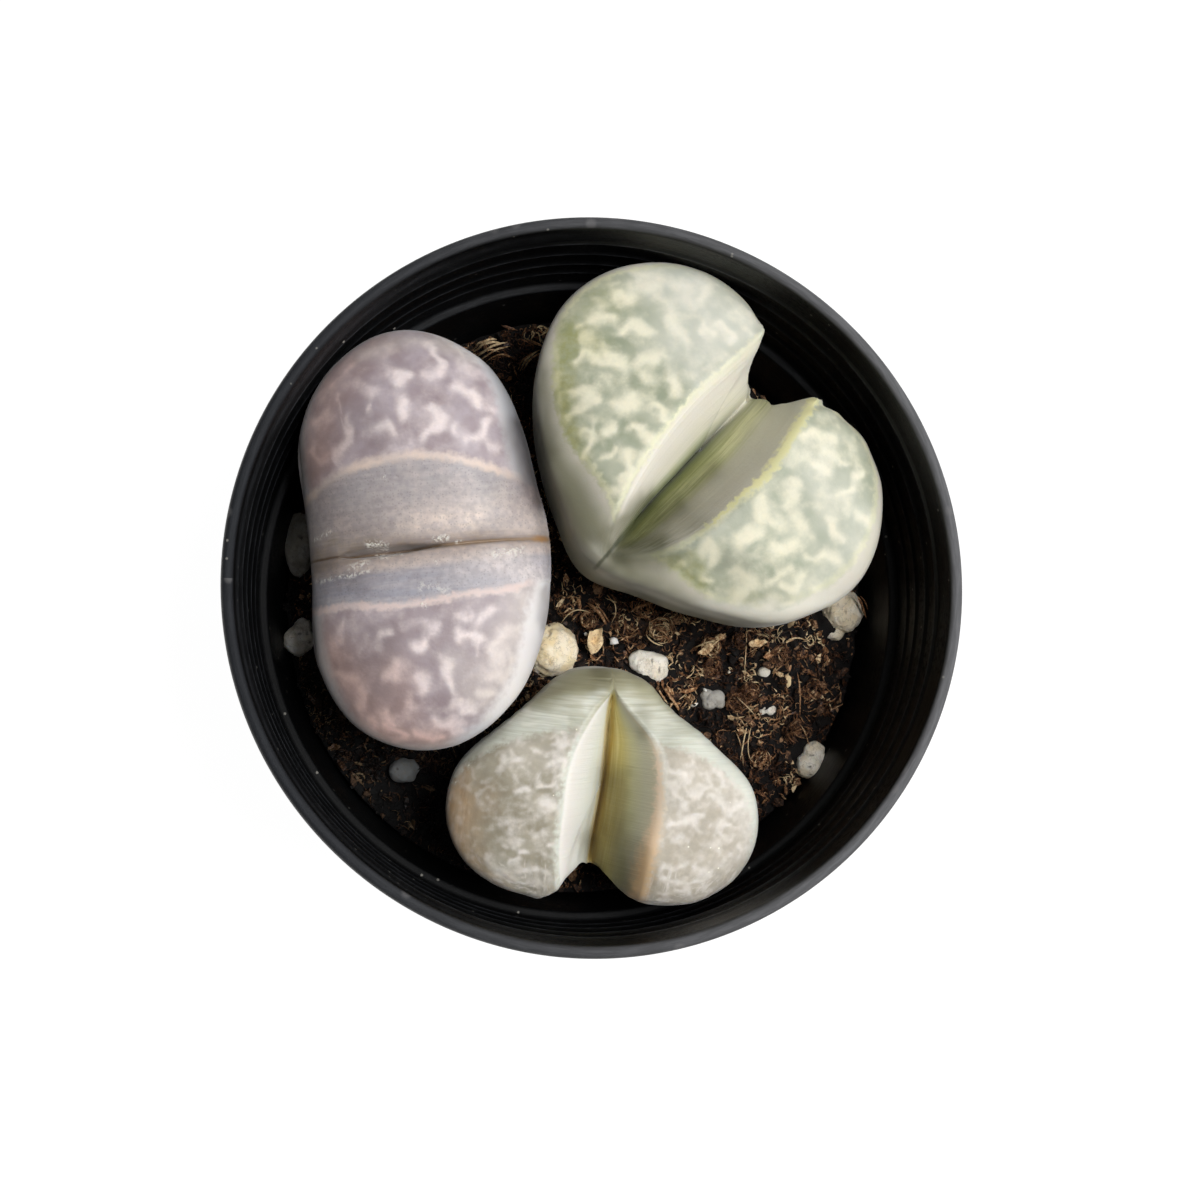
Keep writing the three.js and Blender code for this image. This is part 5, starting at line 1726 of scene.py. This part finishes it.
def random_turns(rng, count, tilt=1.0):
    """Random turns as 3 x 3 matrices from unit quaternions; a small tilt keeps them near upright."""
    q = rng.normal(size=(count, 4))
    q[:, 1:3] *= tilt
    w, x, y, z = unit(q).T
    return np.stack([
        np.stack([1 - 2 * (y * y + z * z), 2 * (x * y - w * z), 2 * (x * z + w * y)], -1),
        np.stack([2 * (x * y + w * z), 1 - 2 * (x * x + z * z), 2 * (y * z - w * x)], -1),
        np.stack([2 * (x * z - w * y), 2 * (y * z + w * x), 1 - 2 * (x * x + y * y)], -1),
    ], 1)


def crumb_points(rng, centres, sizes, turns, roughness):
    """Lumps: points of a small ball, each pushed in or out at random, stretched, turned and moved."""
    swell = 1 + roughness * (rng.random((len(centres), CRUMB_ROWS, CRUMB_COLUMNS, 1)) - 0.5)
    shaped = ball_directions(CRUMB_ROWS, CRUMB_COLUMNS) * swell * sizes[:, None, None, :]
    points = np.einsum("nij,nrcj->nrci", turns, shaped) + centres[:, None, None, :]
    index = grid_index(CRUMB_ROWS, CRUMB_COLUMNS)
    return points, repeat_faces(faces_from(index, flip=True), len(centres), index.size)


def repeat_faces(faces, count, stride):
    """The faces of one shape for count shapes whose points follow each other."""
    shift = stride * np.arange(count)[:, None, None]
    return [(group[None] + shift).reshape(-1, group.shape[1]) for group in faces]


def make_crumbs(material):
    """Loose crumbs of peat over the whole bed."""
    rng = np.random.default_rng(SEED)
    x, y = random_places(rng, CRUMB_COUNT)
    sizes = random_sizes(rng, (len(x), 1), CRUMB_SIZE) * (0.5 + 0.9 * rng.random((len(x), 3)))
    centres = np.stack([x, y, soil_surface(x, y) + 0.1 * sizes[:, 2]], -1)
    points, faces = crumb_points(rng, centres, sizes, random_turns(rng, len(x)), 0.9)
    tone = np.repeat(soil_tones(rng, x, y, 1.6), points.shape[1] * points.shape[2])
    return add_soil("peat_crumbs", points, faces, material, tone, smooth=False)


def make_chips(material):
    """Thin splinters of husk and bark that lie on the bed at slight tilts."""
    rng = np.random.default_rng(SEED + 1)
    x, y = random_places(rng, CHIP_COUNT)
    length = random_sizes(rng, len(x), CHIP_LENGTH)
    width = length * (0.12 + 0.4 * rng.random(len(x)))
    sizes = np.stack([length, width, np.full(len(x), CHIP_THICKNESS)], -1)
    centres = np.stack([x, y, soil_surface(x, y) + CHIP_LIFT], -1)
    points, faces = crumb_points(rng, centres, sizes, random_turns(rng, len(x), 0.35), 0.6)
    tone = np.repeat(0.1 + 0.9 * soil_tones(rng, x, y, 1.2), points.shape[1] * points.shape[2])
    return add_soil("bark_chips", points, faces, material, tone, smooth=False)


def tube_points(paths, radii, sides):
    """Rings round each path: a circle in the plane square to the path, for paths (n, steps, 3)."""
    forward = unit(np.gradient(paths, axis=1))
    sideways = unit(np.cross(forward, [0.05, 0.02, 1.0]))
    upward = np.cross(sideways, forward)
    turn = even_turns(sides)
    ring = np.cos(turn)[:, None] * sideways[..., None, :] + np.sin(turn)[:, None] * upward[..., None, :]
    return paths[..., None, :] + radii[..., None, None] * ring


def tube_faces(count, steps, sides):
    """Side quads and the two end caps of count tubes."""
    index = np.arange(steps * sides).reshape(steps, sides)
    quads, _ = faces_from(index)
    caps = np.stack([index[0], index[-1][::-1]])
    return repeat_faces([quads, caps], count, steps * sides)


def curly_paths(rng, x, y, heading, length, lift):
    """Paths that start at x, y, turn steadily as they go, and rise from the bed in a low arch."""
    t = np.linspace(0, 1, FIBRE_STEPS)
    curl = rng.normal(0, 1.8, (len(x), 1))
    wave = rng.normal(0, 0.9, (len(x), 1))
    turned = heading[:, None] + curl * t + wave * np.sin(TAU * t)
    step = length[:, None] / (FIBRE_STEPS - 1)
    across = x[:, None] + np.cumsum(np.cos(turned) * step, 1)
    down = y[:, None] + np.cumsum(np.sin(turned) * step, 1)
    height = soil_surface(across, down) + lift[:, None] * np.sin(np.pi * t) + 0.1
    return np.stack([across, down, height], -1)


def add_fibres(name, paths, thickness, tone, material):
    """Thin tubes along the paths that stay clear of plants, grains and pot, thinner at both ends."""
    keep = free_places(paths, FIBRE_CLEARANCE).all(1)
    t = np.linspace(-1, 1, FIBRE_STEPS)
    radii = thickness[keep, None] * (1 - 0.6 * np.abs(t) ** 3)
    points = tube_points(paths[keep], radii, FIBRE_SIDES)
    faces = tube_faces(keep.sum(), FIBRE_STEPS, FIBRE_SIDES)
    return add_soil(name, points, faces, material, np.repeat(tone[keep], FIBRE_STEPS * FIBRE_SIDES))


def make_fibres(material):
    """Single curly fibres all over the bed."""
    rng = np.random.default_rng(SEED + 2)
    x, y = random_places(rng, FIBRE_COUNT)
    count = len(x)
    length = random_sizes(rng, count, FIBRE_LENGTH)
    heading = TAU * rng.random(count)
    paths = curly_paths(rng, x, y, heading, length, random_sizes(rng, count, FIBRE_LIFT))
    thickness = random_sizes(rng, count, FIBRE_THICKNESS)
    return add_fibres("peat_fibres", paths, thickness, soil_tones(rng, x, y, 1.7), material)


def make_tangles(material):
    """Tufts of fibres that run much the same way and share a tone."""
    rng = np.random.default_rng(SEED + 4)
    x, y = random_places(rng, TANGLE_COUNT)
    count = len(x) * TANGLE_SIZE
    tone = np.repeat(soil_tones(rng, x, y, 1.45), TANGLE_SIZE) + rng.normal(0, 0.12, count)
    heading = np.repeat(TAU * rng.random(len(x)), TANGLE_SIZE) + rng.normal(0, 0.5, count)
    x, y = (np.repeat(place, TANGLE_SIZE) + rng.normal(0, TANGLE_SPREAD, count) for place in (x, y))
    length = random_sizes(rng, count, TANGLE_LENGTH)
    paths = curly_paths(rng, x, y, heading, length, random_sizes(rng, count, TANGLE_LIFT))
    return add_fibres("fibre_tangles", paths, random_sizes(rng, count, TANGLE_THICKNESS), tone, material)


def make_clumps(material):
    """Curled clumps: short arcs of circles that lie on a flattened ball, each about its own axis."""
    rng = np.random.default_rng(SEED + 5)
    table = np.array(CLUMPS)
    centres = np.array([photo_point(*row[:3]) for row in CLUMPS])
    centres, radius, tone = (np.repeat(part, CLUMP_FIBRES, 0) for part in (centres, table[:, 3], table[:, 4]))
    own = np.repeat(unit(rng.normal(size=(len(CLUMPS), 3))), CLUMP_FIBRES, 0)
    axis = unit(own + 0.9 * rng.normal(size=own.shape))
    first = unit(np.cross(axis, rng.normal(size=axis.shape)))
    second = np.cross(axis, first)
    turn = (0.5 + 1.2 * rng.random(len(axis)))[:, None] * np.linspace(-0.5, 0.5, FIBRE_STEPS)
    level = rng.uniform(-0.7, 0.9, (len(axis), 1, 1))
    circle = np.cos(turn)[..., None] * first[:, None] + np.sin(turn)[..., None] * second[:, None]
    ball = np.sqrt(1 - level**2) * circle + level * axis[:, None]
    reach = (radius * (0.55 + 0.45 * rng.random(len(axis))))[:, None, None]
    paths = centres[:, None] + reach * ball * [1, 1, CLUMP_FLATNESS]
    shade = tone * (0.5 + 1.1 * rng.random(len(axis)) ** 1.5)
    return add_fibres("fibre_clumps", paths, random_sizes(rng, len(axis), CLUMP_THICKNESS), shade, material)


def make_strands(material):
    """Husk strands and twigs: quadratic curves through three points each, tapered at both ends."""
    rng = np.random.default_rng(SEED + 3)
    t = np.linspace(0, 1, STRAND_STEPS)[:, None]
    paths = []
    for first, middle, last, _, _ in STRANDS:
        start, through, end = (photo_point(*spot) for spot in (first, middle, last))
        control = 2 * through - 0.5 * (start + end)
        paths.append((1 - t) ** 2 * start + 2 * t * (1 - t) * control + t**2 * end)
    paths = warped(np.array(paths), 1.3, STRAND_WANDER, 90)
    thickness = np.array([0.5 * strand[3] for strand in STRANDS])[:, None]
    taper = 1 - 0.75 * np.abs(2 * t[:, 0] - 1) ** 3
    radii = thickness * taper * (1 + 0.25 * (rng.random((len(paths), STRAND_STEPS)) - 0.5))
    tone = np.repeat([strand[4] for strand in STRANDS], STRAND_STEPS * STRAND_SIDES)
    points = tube_points(paths, radii, STRAND_SIDES)
    faces = tube_faces(len(paths), STRAND_STEPS, STRAND_SIDES)
    return add_soil("husk_strands", points, faces, material, tone)


def make_flakes(material):
    """Thin curled sheets, closed on both sides: a bent ellipse with a crumpled surface."""
    share = np.linspace(0, 1, FLAKE_ROWS)[:, None]
    turn = even_turns(FLAKE_COLUMNS)
    all_points, tones = [], []
    for number, (across, down, level, length, width, angle, tone) in enumerate(FLAKES):
        edge = 1 + 0.35 * lattice_noise(np.stack([2 * np.cos(turn), 2 * np.sin(turn)], -1), 0.8, number)
        u, v = share * edge * np.cos(turn), share * edge * np.sin(turn)
        x, y = 0.5 * length * u, 0.5 * width * v
        plan = np.stack([x, y, np.full_like(x, 3.0 * number)], -1)
        bend = 0.28 * width * v**2 + 0.12 * length * u**2 + 0.4 * lattice_noise(plan, 0.5, 100)
        thick = np.broadcast_to(FLAKE_THICKNESS * np.sqrt(np.maximum(1 - share**2, 0)), u.shape)
        upper = np.stack([x, y, bend + thick], -1)
        lower = np.stack([x, y, bend - thick], -1)[::-1][1:]
        spin = np.radians(angle)
        turned = np.array([[np.cos(spin), np.sin(spin), 0], [-np.sin(spin), np.cos(spin), 0], [0, 0, 1]])
        points = np.concatenate([upper, lower]) @ turned + photo_point(across, down, level)
        all_points.append(points)
        tones.append(np.full(points.shape[:2], tone))
    index = grid_index(2 * FLAKE_ROWS - 1, FLAKE_COLUMNS)
    faces = repeat_faces(faces_from(index), len(FLAKES), index.size)
    return add_soil("husk_flakes", np.array(all_points), faces, material, np.array(tones))


def peat(name, stops, roughness, relief, shadow):
    """Peat and husk: a colour from each bit's own tone, mottled, with matted hairs and a fine relief."""
    material, nodes, shader = start_material(name, roughness, 0.4)
    times, step, plus = nodes.times, nodes.step, nodes.plus
    place = nodes.place()
    coarse, fine = nodes.mottle(place, 1.2)
    hairs = nodes.effect("hairs", Place=place, Size=0.8)["Hairs"]
    shift = times(nodes.minus(fine, 0.5), 0.35)
    tone = plus(plus(nodes.value("tone"), shift), times(hairs, 0.3))
    base = nodes.paint(nodes.ramp(tone, stops), (14, 10, 8, coarse, shadow))
    x, y, _ = nodes.add("ShaderNodeSeparateXYZ", {0: place}).outputs
    # Painted shadow: the bits are darker towards negative x and y.
    painted_soil_shadow = times(step(x, 2, -12), step(y, 2, -8))
    base = nodes.dim(base, colour(120, 116, 112), painted_soil_shadow)
    height = plus(nodes.noise(place, 0.14, 4, 0.7), hairs)
    finish_material(nodes, shader, base, step(fine, 0, 1, roughness - 0.1, roughness), height, relief)
    return material


# Perlite grains

def make_grain(number, name, material):
    """A grain: the farthest of its lobes each way, roughened by noise and pitted, and kept within the pot."""
    (across, upward, growth), (warm, grey, foam), lobes = GRAINS[number]
    low, high = node_box(name)
    middle, half = 0.5 * (low + high) + [across, upward, 0.0], 0.5 * growth * (high - low)
    ray = ball_directions(GRAIN_ROWS, GRAIN_COLUMNS)
    total = 0
    for *centre, radius in lobes:
        along = ray @ np.array(centre)
        inside = radius**2 - (np.dot(centre, centre) - along**2)
        reach = np.where(inside > 0, along + np.sqrt(np.maximum(inside, 0)), 0)
        total = total + np.maximum(reach, 0) ** 10
    reach = np.maximum(np.maximum(total, 1e-6) ** 0.1, 0.5)
    seeds = ray * reach[..., None] * half + 20 * number
    lumps = GRAIN_LUMPS * layered_noise(seeds, 0.9, 4, 200 + number)
    pits = smooth_step(lattice_noise(seeds, 0.42, 230 + number), 0.62, 0.85)
    reach = reach * (1 + lumps - GRAIN_PITS * pits)
    points = middle + ray * reach[..., None] * half
    allowed = wall_radius(points[..., 2]) + 0.5 * WALL
    points[..., :2] *= np.minimum(1, allowed / np.hypot(points[..., 0], points[..., 1]))[..., None]
    index = grid_index(GRAIN_ROWS, GRAIN_COLUMNS)
    height = (points[..., 2] - low[2]) / (high[2] - low[2])
    even = np.ones(pits.shape)
    values = {"pit": foam * pits, "height": height, "warm": warm * even, "grey": grey * even}
    faces = faces_from(index, flip=True)
    return add_piece(name + "_lump", points, faces, material, (name,), values)


def make_bits(material):
    """Small broken bits of perlite among the peat."""
    rng = np.random.default_rng(SEED + 6)
    centres = np.array([photo_point(*bit[:3]) for bit in BITS])
    sizes = np.array([bit[3] for bit in BITS])[:, None] * (0.7 + 0.6 * rng.random((len(BITS), 3)))
    points, faces = crumb_points(rng, centres, sizes, random_turns(rng, len(BITS)), 0.5)
    values = {"height": np.ones(points.shape[:3])}
    return add_piece("perlite_bits", points, faces, material, (), values)


def perlite():
    """Off-white grains, each with its own warmth, stained low down, with dark pits and a foamy relief."""
    material, nodes, shader = start_material("perlite", 0.85, 0.3, 0.15, 0.8)
    step = nodes.step
    place = nodes.place()
    coarse, fine = nodes.mottle(place, 1.6)
    stained = nodes.times(step(nodes.value("height"), 0.6, 0.15), step(fine, 0, 1, 0.3))
    veins = nodes.line(nodes.noise(place, 0.9, 4, 0.6), 0.5, 0.03)
    base = nodes.paint(
        colour(250, 246, 238),
        (230, 222, 206, coarse),
        (246, 224, 178, nodes.value("warm"), step(coarse, 0, 1, 0.55)),
        (122, 124, 124, nodes.value("grey")),
        (150, 120, 86, stained, 0.75),
        (120, 104, 84, veins, 0.35),
        (52, 40, 30, nodes.value("pit"), 0.85),
    )
    height = nodes.noise(place, 0.3, 4, 0.65)
    finish_material(nodes, shader, base, step(fine, 0, 1, 0.75, 0.9), height, 0.12)
    return material


# Light, floor and background

def area_light(name, azimuth, elevation, distance, size, watts):
    """A square soft light; its azimuth is measured from +X and its elevation from the floor."""
    turn, rise = np.radians(azimuth), np.radians(elevation)
    aside = np.array([np.cos(turn) * np.cos(rise), np.sin(turn) * np.cos(rise), np.sin(rise)])
    data = bpy.data.lights.new(name, "AREA")
    data.size = size
    data.energy = watts
    right = unit(np.cross([0, 1, 0.01], aside))
    light = add_object(name, data)
    light.matrix_world = placement(right, np.cross(aside, right), aside, LIGHT_AIM + distance * aside)


def make_floor():
    """A white floor that glows, so that it shows as the photograph's white background."""
    corners = [(x * FLOOR_HALF_SIDE, y * FLOOR_HALF_SIDE, 0) for x, y in ((-1, -1), (1, -1), (1, 1), (-1, 1))]
    floor_mesh = bpy.data.meshes.new("floor")
    floor_mesh.from_pydata(corners, [], [(0, 1, 2, 3)])
    floor = add_object("floor", floor_mesh)
    material, _, shader = start_material("white_floor", 0.8, 0.2)
    shader.inputs["Base Color"].default_value = (0.1, 0.1, 0.1, 1)
    shader.inputs["Emission Color"].default_value = (1, 1, 1, 1)
    shader.inputs["Emission Strength"].default_value = FLOOR_GLOW
    floor_mesh.materials.append(material)


def make_world():
    """White where the camera sees past the floor, and a little light from all round."""
    world = bpy.data.worlds.new("studio")
    bpy.context.scene.world = world
    world.use_nodes = True
    air = Nodes(world.node_tree)
    seen = air.add("ShaderNodeLightPath").outputs["Is Camera Ray"]
    strength = air.add("ShaderNodeMapRange", {"Value": seen, "To Min": AIR_LIGHT, "To Max": 1.0}).outputs[0]
    background = world.node_tree.nodes["Background"]
    background.inputs["Color"].default_value = (1, 1, 1, 1)
    air.feed(background.inputs["Strength"], strength)
    bpy.context.scene.view_settings.view_transform = "Standard"


make_camera()
for name, settings in LIGHTS.items():
    area_light(name, *settings)
make_floor()
make_world()
make_pot(pot_plastic())
bed_peat, crumb_peat, fibre_peat = (peat(name, *looks) for name, looks in PEATS.items())
make_soil(bed_peat)
make_crumbs(crumb_peat)
for make_bits_of_peat in (make_chips, make_fibres, make_tangles, make_clumps, make_strands, make_flakes):
    make_bits_of_peat(fibre_peat)
grain_foam = perlite()
for number, name in enumerate(GRAIN_NAMES):
    make_grain(number, name, grain_foam)
make_bits(grain_foam)
make_plant("lithops_green", green_skin(), 0.55, 1.2)
make_plant("lithops_mauve", mauve_skin(), 0.5, 1.4)
make_plant("lithops_small", small_skin(), 0.7, 0.8, small_wrinkles)
